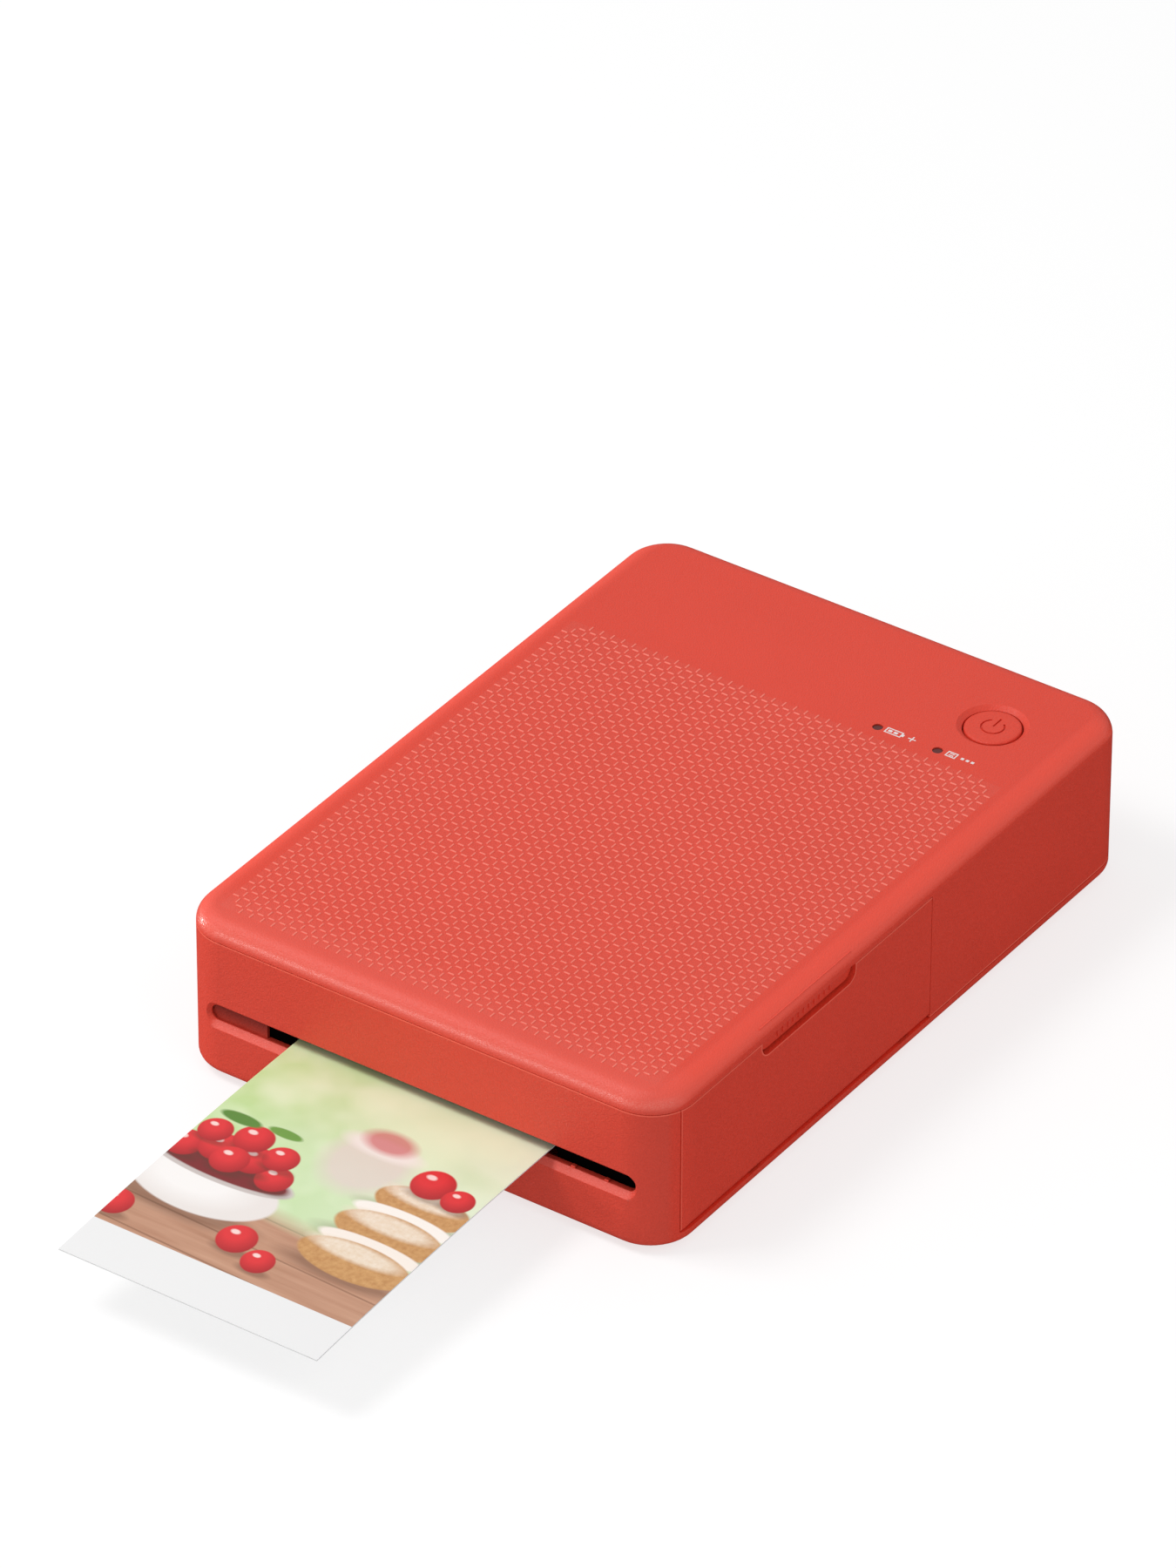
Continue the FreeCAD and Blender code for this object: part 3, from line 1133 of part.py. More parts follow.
def cassette():
    """Two tubes for the spools, joined by rails, with a grip plate by the door."""
    left = -plate_inner + size.disc_gap
    right = half_paper + size.tubes_beyond_paper
    tube_length = right - left
    solids = []
    hollows = []
    for label, y, inward in (("take_up", take_up_y, 1.0), ("supply", supply_y, -1.0)):
        solids.append(rod(label + "_tube", size.tube_radius, left, tube_length, y=y, z=take_up_z))
        hollows.append(rod(label + "_hollow", size.tube_radius - size.tube_wall, left + size.tube_wall,
                           tube_length - size.tube_wall * 2.0, y=y, z=take_up_z))
        hollows.append(rod(label + "_journal_hole", size.spool_journal_radius + size.hinge_play,
                           left - size.overrun, tube_length + size.overrun + size.disc_gap,
                           y=y, z=take_up_z))
        near = y + inward * (size.tube_radius - size.tube_wall * 2.0)
        far = y + inward * (size.tube_radius + size.tube_wall)
        low_y, high_y = (near, far) if inward > 0 else (far, near)
        middle = take_up_z - size.tube_slot
        hollows.append(box(label + "_film_slot", (-film_half - size.disc_gap, film_half + size.disc_gap),
                           (low_y, high_y), (middle - size.tube_slot / 2, middle + size.tube_slot / 2)))
    rail_low = take_up_z - size.rail_height / 2
    rail_high = take_up_z + size.rail_height / 2
    rail_inner = head_half + size.disc_gap
    solids.append(box("left_rail", (-rail_inner - size.rail_thickness, -rail_inner), (take_up_y, supply_y),
                      (rail_low, rail_high)))
    solids.append(box("right_rail", (rail_inner, rail_inner + size.rail_thickness), (take_up_y, supply_y),
                      (rail_low, rail_high)))
    plate_low = take_up_z - size.tube_radius + size.tube_wall / 2
    plate_high = take_up_z + size.tube_radius - size.tube_wall / 2
    solids.append(rounded_plate("cassette_end", right - size.tube_wall, size.grip_thickness,
                                (take_up_y - size.tube_radius, supply_y + size.tube_radius),
                                (plate_low, plate_high)))
    middle = (take_up_y + supply_y) / 2
    solids.append(box("cassette_grip", (right, right + size.grip_overhang),
                      (middle - size.grip_overhang * 1.5, middle + size.grip_overhang * 1.5),
                      (take_up_z - size.grip_thickness / 2, take_up_z + size.grip_thickness / 2)))
    finish(cut("cassette_shell", fuse("cassette_solid", solids), hollows), "cassette_shell")

    for label, y, roll in (("take_up", take_up_y, size.take_up_roll_radius),
                           ("supply", supply_y, size.supply_roll_radius)):
        spool_left = left + size.tube_wall + size.disc_gap
        spool_length = tube_length - size.tube_wall * 2.0 - size.disc_gap * 2.0
        core = rod(label + "_core", size.spool_radius, spool_left, spool_length, y=y, z=take_up_z)
        journal = rod(label + "_journal", size.spool_journal_radius, left, size.tube_wall * 2.0 + spool_length,
                      y=y, z=take_up_z)
        bore = rod(label + "_bore", size.spool_bore_radius, left - size.overrun,
                   size.overrun + size.dog_length * 2.0, y=y, z=take_up_z)
        finish(cut(label + "_spool", fuse(label + "_spool_solid", [core, journal]), [bore]), label + "_spool")
        wound = rod(label + "_wound", roll, -film_half, film_half * 2.0, y=y, z=take_up_z)
        middle_hole = rod(label + "_wound_hole", size.spool_radius, -film_half * 2.0, film_half * 4.0,
                          y=y, z=take_up_z)
        finish(cut(label + "_roll", wound, [middle_hole]), label + "_roll")


def rounded_plate(name, start, thickness, across, up, only_below=None):
    """An upright plate with round corners, square to X, or with its lower corners alone round."""
    body = doc.addObject("PartDesign::Body", name)
    corners = [(across[0], up[0]), (across[1], up[0]), (across[1], up[1]), (across[0], up[1])]
    pad(body, name + "_thickness", outline(body, name + "_outline", "YZ_Plane", corners, start), thickness)
    ceiling = float(only_below if only_below is not None else up[1] + size.overrun)
    rounded(body, name + "_corners", size.notch_round,
            lambda edge: abs(edge.Vertexes[0].X - edge.Vertexes[-1].X) > NEAR and edge.Vertexes[0].Z < ceiling)
    return body


def ribbon():
    """The ink film, from the supply tube under the head and up to the take-up tube."""
    low = paper_top + size.film_over_print
    strip_front = platen_y - size.sink_front - size.window_gap * 1.5
    strip_rear = platen_y + size.sink_depth - size.sink_front
    leave_y = supply_y - size.tube_radius + size.tube_wall / 2
    leave_z = take_up_z - size.tube_slot
    arrive_y = take_up_y + size.tube_radius - size.tube_wall / 2
    lift = low + size.film_rise
    thick = size.film_thickness
    bottom = [
        (leave_y, leave_z), (strip_rear + size.film_over_print * 6.0, low), (strip_front, low),
        (strip_front - size.film_rise * 0.45, lift), (arrive_y, leave_z),
    ]
    top = [(y, z + thick) for y, z in bottom]
    slanted = thick * 1.2
    top[0] = (leave_y - thick / 2, leave_z + slanted)
    top[1] = (bottom[1][0] - thick / 2, low + thick)
    top[2] = (bottom[2][0] + thick / 2, low + thick)
    top[3] = (bottom[3][0] + thick, lift + thick)
    points = bottom + top[::-1]
    finish(extruded("ink_ribbon", "YZ_Plane", points, -film_half, film_half * 2.0), "ink_ribbon")


# Print head

def print_head():
    """The thermal strip under a finned heat sink, hung from an arm that pivots behind the cassette."""
    strip_low = paper_top + size.film_over_print + size.film_thickness + size.strip_gap
    strip_high = strip_low + size.strip_thickness
    half = head_half
    finish(box("thermal_strip", (-half, half), (platen_y - size.strip_depth / 2, platen_y + size.strip_depth / 2),
               (strip_low, strip_high)), "thermal_strip")
    sink_start = platen_y - size.sink_front
    block = box("sink_block", (-half, half), (sink_start, sink_start + size.sink_depth),
                (strip_high, size.sink_top))
    pitch = size.sink_depth / 4
    grooves = []
    for index in range(4):
        y = sink_start + pitch * (index + 0.5)
        grooves.append(box("fin_groove_%d" % index, (-half - size.overrun, half + size.overrun),
                           (y - size.fin_groove / 2, y + size.fin_groove / 2),
                           (size.sink_top - size.fin_depth, size.sink_top + size.overrun)))
    finish(cut("heat_sink", block, grooves), "heat_sink")
    arm_low = size.sink_top
    arm_half = size.arm_width / 2
    plate = box("arm_plate", (-arm_half, arm_half), (sink_start, pivot_y),
                (arm_low, arm_low + size.arm_thickness))
    lugs = []
    for index, x in enumerate((-arm_half, arm_half - size.lug_width)):
        lugs.append(rod("arm_lug_%d" % index, size.lug_radius, x, size.lug_width, y=pivot_y, z=pivot_z))
    bore = rod("arm_bore", size.pivot_radius + size.hinge_play, -arm_half - size.overrun,
               size.arm_width + size.overrun * 2.0, y=pivot_y, z=pivot_z)
    spring_way = [
        box("arm_relief", (-arm_half + size.lug_width, arm_half - size.lug_width),
            (pivot_y - size.lug_radius - size.window_gap, pivot_y + size.overrun),
            (arm_low - size.overrun, arm_low + size.overrun)),
    ]
    finish(cut("head_arm", fuse("arm_solid", [plate] + lugs), [bore] + spring_way), "head_arm")
    finish(rod("head_pivot_shaft", size.pivot_radius, -plate_outer, plate_outer * 2.0, y=pivot_y, z=pivot_z),
           "head_pivot_shaft")


def head_springs():
    """Two coils round the pivot shaft that press the head down."""
    coils = []
    radius = float(size.spring_radius)
    wire = float(size.spring_wire) / 2
    height = float(size.spring_pitch) * float(size.spring_coils)
    helix = Part.makeHelix(float(size.spring_pitch), height, radius)
    section = Part.Wire(Part.Circle(Vector(radius, 0, 0), Vector(0, 1, 0), wire).toShape())
    coil = Part.Wire(helix).makePipeShell([section], True, True)
    inset = size.arm_width / 2 - size.lug_width - size.overrun
    for index, x in enumerate((-inset, inset - size.spring_pitch * size.spring_coils)):
        spring = doc.addObject("Part::Feature", "head_spring_%d" % index)
        spring.Shape = coil
        coils.append(place(spring, x, pivot_y, pivot_z, ALONG_X))
    finish(group("head_springs", coils), "head_springs")


# Motor, battery and electronics

def motor():
    start = -plate_inner
    can = rod("motor_can", size.motor_radius, start, size.motor_length, y=motor_y, z=motor_z)
    cap = rod("motor_cap", size.motor_cap_radius, start + size.motor_length, size.motor_cap_length,
              y=motor_y, z=motor_z)
    way = rod("motor_shaft_way", size.motor_hole_radius, start - size.overrun,
              size.overrun + size.motor_cap_length, y=motor_y, z=motor_z)
    finish(cut("feed_motor", fuse("motor_solid", [can, cap]), [way]), "feed_motor")
    shaft_start = outer_layer - size.gear_layer_gap / 2
    shaft_end = start + size.motor_cap_length - size.disc_gap
    finish(rod("motor_shaft", size.motor_shaft_radius, shaft_start, shaft_end - shaft_start,
               y=motor_y, z=motor_z), "motor_shaft")


def battery():
    shelf_start = front + size.plate_from_front + size.plate_length + size.shelf_behind_plates
    shelf_end = shelf_start + size.shelf_length
    half = half_paper + size.shelf_beyond_paper
    low = size.shelf_height - size.shelf_thickness
    solids = [
        box("shelf_top", (-half, half), (shelf_start, shelf_end), (low, size.shelf_height)),
        box("shelf_left", (-half, -half + size.shelf_thickness), (shelf_start, shelf_end - size.board_depth),
            (floor_top, size.shelf_height)),
        box("shelf_right", (half - size.shelf_thickness, half), (shelf_start, shelf_end - size.board_depth),
            (floor_top, size.shelf_height)),
    ]
    finish(fuse("battery_shelf", solids), "battery_shelf")
    start = shelf_start + size.battery_from_shelf
    pack = rounded_block(
        "battery_pack", (-size.battery_width / 2, size.battery_width / 2), (start, start + size.battery_length),
        (size.shelf_height, size.shelf_height + size.battery_height), size.battery_round, size.battery_round,
    )
    finish(pack, "battery_pack")


def main_board():
    half = half_width - size.board_from_side
    rear = half_depth - size.board_from_rear
    top = size.board_height + size.board_thickness
    finish(box("main_board", (-half, half), (rear - size.board_depth, rear), (size.board_height, top)),
           "main_board")
    chips = []
    for index, x in enumerate((-1.0, 0.0, 1.0)):
        left = x * size.chip_pitch - size.chip_width / 2
        chips.append(box("chip_%d" % index, (left, left + size.chip_width),
                         (rear - size.board_depth + size.chip_height, rear - size.board_depth + size.chip_width),
                         (top, top + size.chip_height)))
    finish(group("board_chips", chips), "board_chips")
    width = size.socket_width / 2
    body = doc.addObject("PartDesign::Body", "usb_socket")

    def stadium(name, grow, start):
        return pill_outline(body, name, width - grow, size.socket_height / 2 - grow,
                            top + size.socket_height / 2, start)

    pad(body, "socket_shell", stadium("socket_outline", zero, -half_depth), size.socket_depth)
    pocket = body.newObject("PartDesign::Pocket", "socket_mouth")
    pocket.Profile = stadium("socket_mouth_outline", size.socket_wall, -half_depth)
    pocket.Length = float(size.socket_depth - size.socket_wall * 2.0)
    pocket.setExpression("Length", (size.socket_depth - size.socket_wall * 2.0).text)
    pocket.Reversed = True
    doc.recompute()
    tongue_thickness = size.socket_wall * 1.5
    tongue = box("socket_tongue", (-width + size.socket_wall * 4.0, width - size.socket_wall * 4.0),
                 (half_depth - size.socket_depth + size.socket_wall, half_depth - size.socket_wall * 4.0),
                 (top + size.socket_height / 2 - tongue_thickness / 2,
                  top + size.socket_height / 2 + tongue_thickness / 2))
    finish(fuse("usb_charge_socket", [body, tongue]), "usb_charge_socket")


def button_board():
    top = size.button_board_top
    finish(box("button_board", (board_left, board_right), (board_front, board_back),
               (top - size.button_board_thickness, top)), "button_board")
    half = size.switch_size / 2
    case = box("switch_case", (button_x - half, button_x + half), (button_y - half, button_y + half),
               (top, top + size.switch_height))
    plunger = rod("switch_plunger", size.plunger_radius, top, size.switch_height + size.plunger_height,
                  x=button_x, y=button_y, turn=ALONG_Z)
    finish(fuse("tact_switch", [case, plunger]), "tact_switch")
    lamps = []
    for index, x in enumerate(light_places):
        reach = size.led_size / 2
        lamps.append(box("led_%d" % index, (x - reach, x + reach), (light_y - reach, light_y + reach),
                         (top, top + size.led_height)))
    finish(group("status_leds", lamps), "status_leds")
    guides = []
    for index, x in enumerate(light_places):
        low = top + size.led_height + size.led_height / 2
        flange_top = roof_under - size.travel_play
        points = [
            (zero, low), (size.light_radius, low), (size.light_radius, flange_top - size.light_flange),
            (size.light_flange_radius, flange_top - size.light_flange), (size.light_flange_radius, flange_top),
            (size.light_radius, flange_top), (size.light_radius, size.body_height - size.light_drop),
            (zero, size.body_height - size.light_drop),
        ]
        guides.append(place(turned("light_guide_%d" % index, points), x, light_y))
    finish(group("light_guides", guides), "light_guides")


def power_button():
    """A slightly domed cap with a flange under the roof and a stem over the switch."""
    top = size.body_height - size.button_drop
    flange_top = roof_under - size.travel_play
    plunger_top = size.button_board_top + size.switch_height + size.plunger_height
    stem_low = plunger_top + size.button_travel + size.travel_play
    flange_low = flange_top - size.flange_thickness
    radius = size.button_radius
    points = [
        (zero, stem_low), (size.stem_radius, stem_low), (size.stem_radius, flange_low),
        (radius + size.button_flange, flange_low), (radius + size.button_flange, flange_top),
        (radius, flange_top), (radius, top - size.button_dome * 2.0), (radius - size.button_dome * 2.0, top),
        (zero, top),
    ]
    finish(place(turned("power_button", points), button_x, button_y), "power_button")


# Feet and screws

def feet_and_screws():
    feet = []
    screws = []
    for index, (x, y) in enumerate(screw_places):
        edge = size.foot_height / 4
        radius = size.foot_radius
        points = [(zero, zero), (radius - edge, zero), (radius, edge), (radius, size.foot_height),
                  (zero, size.foot_height)]
        feet.append(place(turned("foot_%d" % index, points), x, y))
        low = base_level + size.disc_gap
        head_top = base_level + size.screw_head_height
        points = [
            (zero, low), (size.screw_head_radius - size.hinge_play, low),
            (size.screw_head_radius - size.hinge_play, head_top), (size.screw_radius - size.hinge_play, head_top),
            (size.screw_radius - size.hinge_play, head_top + size.screw_length - size.disc_gap),
            (zero, head_top + size.screw_length - size.disc_gap),
        ]
        screws.append(place(turned("screw_%d" % index, points), x, y))
    finish(group("rubber_feet", feet), "rubber_feet")
    finish(group("case_screws", screws), "case_screws")


top_shell()
bottom_shell()
side_door()
door_hinge_pins()
paper_cover()
paper_feed()
photo_print()
gears()
shaft_bushes()
rollers()
side_plates()
paper_guide()
feed_ramp()
cassette()
ribbon()
print_head()
head_springs()
motor()
battery()
main_board()
button_board()
power_button()
feet_and_screws()
doc.recompute()

# Nothing is written unless every object is sound.
for thing in doc.Objects:
    if "Invalid" in thing.State or "Error" in thing.State:
        raise RuntimeError(thing.Name + " did not build: " + str(thing.State))
for thing in sub_parts:
    if thing.Shape.isNull() or not thing.Shape.isValid() or not thing.Shape.Solids:
        raise RuntimeError(thing.Label + " has no sound shape")
os.makedirs("parts", exist_ok=True)
for thing in sub_parts:
    thing.Shape.exportStep("parts/" + thing.Label + ".step")
print(len(sub_parts), "sub-parts written")
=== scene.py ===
"""The compact photo printer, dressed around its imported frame.

Every piece is in metres, in the frame of the solids: +X to the side door, +Y to the rear, +Z up.
"""
import math

import bpy
from bpy.props import FloatProperty, FloatVectorProperty, IntProperty, PointerProperty
from mathutils import Matrix, Vector


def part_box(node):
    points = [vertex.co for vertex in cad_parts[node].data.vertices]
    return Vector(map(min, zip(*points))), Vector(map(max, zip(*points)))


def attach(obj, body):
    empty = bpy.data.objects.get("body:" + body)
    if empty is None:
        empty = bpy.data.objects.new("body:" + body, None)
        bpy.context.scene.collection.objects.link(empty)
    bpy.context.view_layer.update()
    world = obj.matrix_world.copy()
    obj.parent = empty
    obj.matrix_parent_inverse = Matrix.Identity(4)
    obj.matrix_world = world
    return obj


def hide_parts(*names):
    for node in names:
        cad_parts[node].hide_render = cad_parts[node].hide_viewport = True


bl_info = {
    "name": "Compact photo printer",
    "version": (1, 0, 0),
    "blender": (4, 5, 0),
    "location": "View3D > Sidebar > Printer",
    "description": "Dresses the printer's solids with their finishes and fine detail",
    "category": "Object",
}

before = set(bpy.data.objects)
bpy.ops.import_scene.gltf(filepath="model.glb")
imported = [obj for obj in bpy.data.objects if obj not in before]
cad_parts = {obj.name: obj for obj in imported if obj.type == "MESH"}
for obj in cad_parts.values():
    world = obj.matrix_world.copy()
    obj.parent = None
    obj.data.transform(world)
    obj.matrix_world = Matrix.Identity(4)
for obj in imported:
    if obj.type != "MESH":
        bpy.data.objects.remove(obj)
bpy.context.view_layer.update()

MM = 0.001

# Places on the case, in millimetres. It stands this far behind the frame's origin, because the print
# counts in the frame too.
CASE_BACK = 33.3
TOP = 32.9
FRONT = -72.9 + CASE_BACK
SIDE = 51.1
SEAM = 29.5
FIELD_HALF = 45.6
SLOT_HALF = 46.0
SLOT_FLOOR = 12.0
SLOT_FOOT = 10.2

# The side door: its front edge, and its finger notch's middle along Y and rounded corners.
DOOR_FRONT = CASE_BACK - 67.15
NOTCH_MIDDLE = CASE_BACK - 29.25
NOTCH_HALF = 12.1
NOTCH_ROUND = 2.2
NOTCH_BEND_TOP = 28.3
NOTCH_SETBACK = 0.8


def linear(red, green, blue):
    """A screen colour, 0 to 255, as the light values that a shader takes."""
    values = []
    for level in (red, green, blue):
        share = level / 255
        values.append(share / 12.92 if share <= 0.04045 else ((share + 0.055) / 1.055) ** 2.4)
    return tuple(values)


# Finishes

class Shade:
    """A value in a finish. Python's own sums on it add the nodes that work them out."""

    def __init__(self, finish, socket):
        self.finish = finish
        self.socket = socket

    def sum(self, operation, *others):
        return self.finish.add("Math", dict(enumerate((self, *others))), operation=operation)

    def __add__(self, other):
        return self.sum("ADD", other)

    def __sub__(self, other):
        return self.sum("SUBTRACT", other)

    def __rsub__(self, other):
        return self.finish.add("Math", {0: other, 1: self}, operation="SUBTRACT")

    def __mul__(self, other):
        return self.sum("MULTIPLY", other)

    def __truediv__(self, other):
        return self.sum("DIVIDE", other)

    __radd__ = __add__
    __rmul__ = __mul__

    def above(self, limit):
        return self.sum("GREATER_THAN", limit)

    def below(self, limit):
        return self.sum("LESS_THAN", limit)

    def between(self, low, high):
        """1 between two limits, 0 outside them."""
        return (self - low).above(0.0) * (high - self).above(0.0)

    def most(self, other):
        return self.sum("MAXIMUM", other)

    def root(self):
        return self.sum("SQRT")

    def size(self):
        return self.sum("ABSOLUTE")

    def fraction(self):
        return self.sum("FRACT")

    def limited(self):
        """The value held between 0 and 1."""
        return self.finish.add("Clamp", {0: self})


def opaque(colour):
    """A plain colour with its fourth value. A shade stays as it is."""
    return colour if isinstance(colour, Shade) else (*colour, 1.0)


class Finish:
    """A material put together from plain expressions."""

    def __init__(self, name):
        self.name = name
        self.material = bpy.data.materials.new(name)
        self.material.use_nodes = True
        self.tree = self.material.node_tree
        self.tree.nodes.clear()
        self.surface = self.tree.nodes.new("ShaderNodeBsdfPrincipled")
        self.end = self.tree.nodes.new("ShaderNodeOutputMaterial")
        self.tree.links.new(self.surface.outputs[0], self.end.inputs["Surface"])
        self.where = None
        self.axes = None

    def feed(self, socket, value):
        if isinstance(value, Shade):
            self.tree.links.new(value.socket, socket)
        else:
            socket.default_value = value

    def add(self, kind, inputs=None, output=0, **settings):
        """A node of any kind: its settings first, then the values or links of its sockets."""
        node = self.tree.nodes.new("ShaderNode" + kind)
        for name, value in settings.items():
            setattr(node, name, value)
        for name, value in (inputs or {}).items():
            self.feed(node.inputs[name], value)
        return Shade(self, node.outputs[output])

    def set(self, socket, value):
        self.feed(self.surface.inputs[socket], value)

    def place(self):
        """Where a point lies on the piece, in millimetres along X, Y and Z."""
        if self.where is None:
            point = self.add("TexCoord", output="Object")
            self.where = self.add("VectorMath", {0: point, "Scale": 1 / MM}, operation="SCALE")
            split = self.tree.nodes.new("ShaderNodeSeparateXYZ")
            self.feed(split.inputs[0], self.where)
            self.axes = tuple(Shade(self, socket) for socket in split.outputs)
        return self.axes

    def noise(self, grain, detail=2.0, stretch=(1.0, 1.0, 1.0)):
        """Soft random variation, its grain in millimetres, longer along the stretched axes."""
        self.place()
        inverse = tuple(1 / share for share in stretch)
        vector = self.add("VectorMath", {0: self.where, 1: inverse}, operation="MULTIPLY")
        return self.add("TexNoise", {"Vector": vector, "Scale": 1 / grain, "Detail": detail})

    def blend(self, factor, first, second):
        """The first colour where the factor is 0, the second where it is 1."""
        return self.add("Mix", {0: factor, 6: opaque(first), 7: opaque(second)}, 2, data_type="RGBA")

    def relief(self, height, strength, depth):
        """Fine unevenness, up to a depth in millimetres."""
        inputs = {"Strength": strength, "Distance": depth * MM, "Height": height}
        self.set("Normal", self.add("Bump", inputs))


def darker(colour, share):
    return tuple(value * share for value in colour)


def moulded_plastic(name, colour, roughness, grain=0.35, depth=0.03):
    """Moulded plastic with a fine spark-eroded grain, faintly uneven in tone and gloss."""
    finish = Finish(name)
    fine = finish.noise(grain, 3.0)
    broad = finish.noise(18.0)
    tone = broad * 0.6 + fine * 0.4
    finish.set("Base Color", finish.blend(tone, darker(colour, 0.955), darker(colour, 1.035)))
    finish.set("Roughness", (fine - 0.5) * 0.16 + roughness + (broad - 0.5) * 0.08)
    finish.relief(fine, 0.55, depth)
    return finish


def along_notch(y):
    """Whether a point lies abreast of the door's finger notch, rounded corners included."""
    return (y - NOTCH_MIDDLE).size().below(NOTCH_HALF + NOTCH_ROUND)


def painted_edge_highlights(x, y, z):
    """Painted highlight where a parting edge catches the light: the rim seam with its gap painted light
    against the gap's shade, and the door's edges and notch.
    """
    width = 0.26
    seam_end = CASE_BACK + 9.0
    door_foot = 3.6
    tab = x.above(SIDE - 1.6) * along_notch(y)
    rim = z.between(SEAM - 0.44, SEAM + 0.02) * y.below(seam_end) * (1.0 - tab)
    side = x.above(SIDE - 0.5) * z.below(SEAM - 0.2)
    front_edge = y.between(DOOR_FRONT, DOOR_FRONT + width) * z.above(door_foot)
    bottom_edge = z.between(door_foot + 0.04, door_foot + 0.35) * x.above(SIDE - 1.1) * y.above(DOOR_FRONT)
    across = ((y - NOTCH_MIDDLE).size() - NOTCH_HALF).most(0.0)
    below = (NOTCH_BEND_TOP - z).most(0.0)
    outside = (across * across + below * below).root() - NOTCH_ROUND
    notch_edge = outside.between(0.0, width) * x.above(SIDE - 0.35)
    return rim.most(side * front_edge).most(bottom_edge).most(side * notch_edge)


def case_plastic(name, colours):
    """The coral case: duller between the lid's dashes, with painted highlight on its bends, front and edges,
    and painted shade on its sides and inside the slot.
    """
    finish = Finish(name)
    x, y, z = finish.place()
    half = x.size()
    fine = finish.noise(0.27)
    broad = finish.noise(22.0)
    tone = ((fine - 0.5) * 1.9 + (broad - 0.5) * 0.4 + 0.5).limited()

    def mottled(colour, low, high):
        return finish.blend(tone, darker(colour, low), darker(colour, high))

    # The lid's patterned field, the two flanks in a deeper red as painted shade, and the bends between them
    # and the lid.
    field = half.below(FIELD_HALF) * y.between(CASE_BACK - 67.6, CASE_BACK + 39.2) * z.above(TOP - 0.05)
    upper = (z - SEAM).limited()
    painted_flank_shade = ((half - (SIDE - 1.8) - upper * 1.25) / 0.7).limited()
    inside = upper * (1.0 - painted_flank_shade)
    shown = finish.blend(field, mottled(colours.case, 0.91, 1.08), mottled(colours.field, 0.88, 1.10))
    shown = finish.blend(painted_flank_shade, shown, mottled(colours.painted_flank_shade, 0.86, 1.12))
    # Painted highlight: the bends at the lid's sides are painted paler.
    bend = ((half - (FIELD_HALF + 1.0)) / 3.8).limited() * inside
    shown = finish.blend(bend, shown, colours.painted_bend_highlight)

    # Painted highlight: the lid's front margin and the slot's lower lip, painted a little paler.
    margin = ((FRONT + 13.0 - y) / 11.0).limited() * 0.5
    lip = y.between(FRONT + 0.06, FRONT + 1.25) * z.between(SLOT_FLOOR - 1.22, SLOT_FLOOR + 0.02)
    lip = lip * (SLOT_HALF - 1.7 - half).limited()
    shown = finish.blend((margin * inside).most(lip * 0.7), shown, colours.painted_highlight)

    # Painted shade on the thin step above the notch tab, dimming its lit edge to lie quiet in the bend.
    step = z.between(TOP - 1.015, TOP - 0.985) * x.above(SIDE - 1.2) * along_notch(y)
    shown = finish.blend(step * 0.3, shown, darker(colours.painted_flank_shade, 0.6))

    # The smoother band low on the bend, with painted glints along the front.
    band = (1.2 - (z - (TOP - 1.85)).size() / 0.85).limited()
    front = ((FRONT + 7.5 - y) / 3.0).limited() * (1.0 - painted_flank_shade)
    painted_glint = (finish.noise(0.16, 1.0) * 7.0 - 3.2).limited() * 0.4 + 0.03
    shown = finish.blend(painted_glint * band * front, shown, colours.painted_glint)
    shown = finish.blend(painted_edge_highlights(x, y, z), shown, colours.edge)

    # Painted shade in the slot's throat, darker towards its roof.
    throat = y.between(FRONT + 1.3, FRONT + 4.5) * z.between(SLOT_FOOT, SLOT_FOOT + 7.2)
    depth = throat * half.below(SLOT_HALF) * (((z - 11.4) / 3.6).limited() * 0.5 + 0.25)
    finish.set("Base Color", finish.blend(depth, shown, (0.02, 0.003, 0.003)))
    finish.set("Roughness", 0.43 + (fine - 0.5) * 0.26 + field * 0.05 - band * 0.2)
    finish.set("Specular IOR Level", 0.36)
    finish.relief(fine * (1.0 - band * 0.6), 0.9, 0.13)
    return finish


def raised_plastic(name, colours):
    """The dashes: a little paler towards their tops as painted highlight, and smoother than the field."""
    finish = Finish(name)
    height = finish.place()[2]
    fine = finish.noise(0.3)
    painted_highlight = ((height - TOP) / 0.1).limited()
    pale = finish.blend(fine, darker(colours.painted_dash_highlight, 0.92), darker(colours.painted_dash_highlight, 1.06))
    finish.set("Base Color", finish.blend(painted_highlight, colours.case, pale))
    finish.set("Roughness", 0.36 + (fine - 0.5) * 0.16)
    finish.relief(fine, 0.4, 0.03)
    return finish


def painted_shade_black(name):
    """Painted shade: the flat black of an opening too deep to see into."""
    finish = Finish(name)
    dust = finish.noise(2.0)
    finish.set("Base Color", finish.blend(dust, (0.0008, 0.0007, 0.0007), (0.0022, 0.0018, 0.0018)))
    finish.set("Roughness", 0.85 + dust * 0.1)
    finish.set("Specular IOR Level", 0.0)
    return finish


def brushed_steel(name, colour, roughness, along=(18.0, 1.0, 1.0)):
    """Sheet or turned metal with fine lines along one way."""
    finish = Finish(name)
    lines = finish.noise(0.25, 3.0, along)
    patches = finish.noise(9.0)
    tone = lines * 0.7 + patches * 0.3
    finish.set("Base Color", finish.blend(tone, darker(colour, 0.86), darker(colour, 1.06)))
    finish.set("Metallic", 1.0)
    finish.set("Roughness", roughness + (lines - 0.5) * 0.18 + (patches - 0.5) * 0.1)
    finish.relief(lines, 0.3, 0.01)
    return finish


def rubber(name, colour):
    """Soft matt rubber with ground grain and a little dust."""
    finish = Finish(name)
    fine = finish.noise(0.18, 4.0)
    dust = finish.noise(3.5, 3.0)
    finish.set("Base Color", finish.blend((dust - 0.45).limited(), colour, darker(colour, 1.9)))
    finish.set("Roughness", 0.72 + fine * 0.2)
    finish.relief(fine, 0.6, 0.03)
    return finish


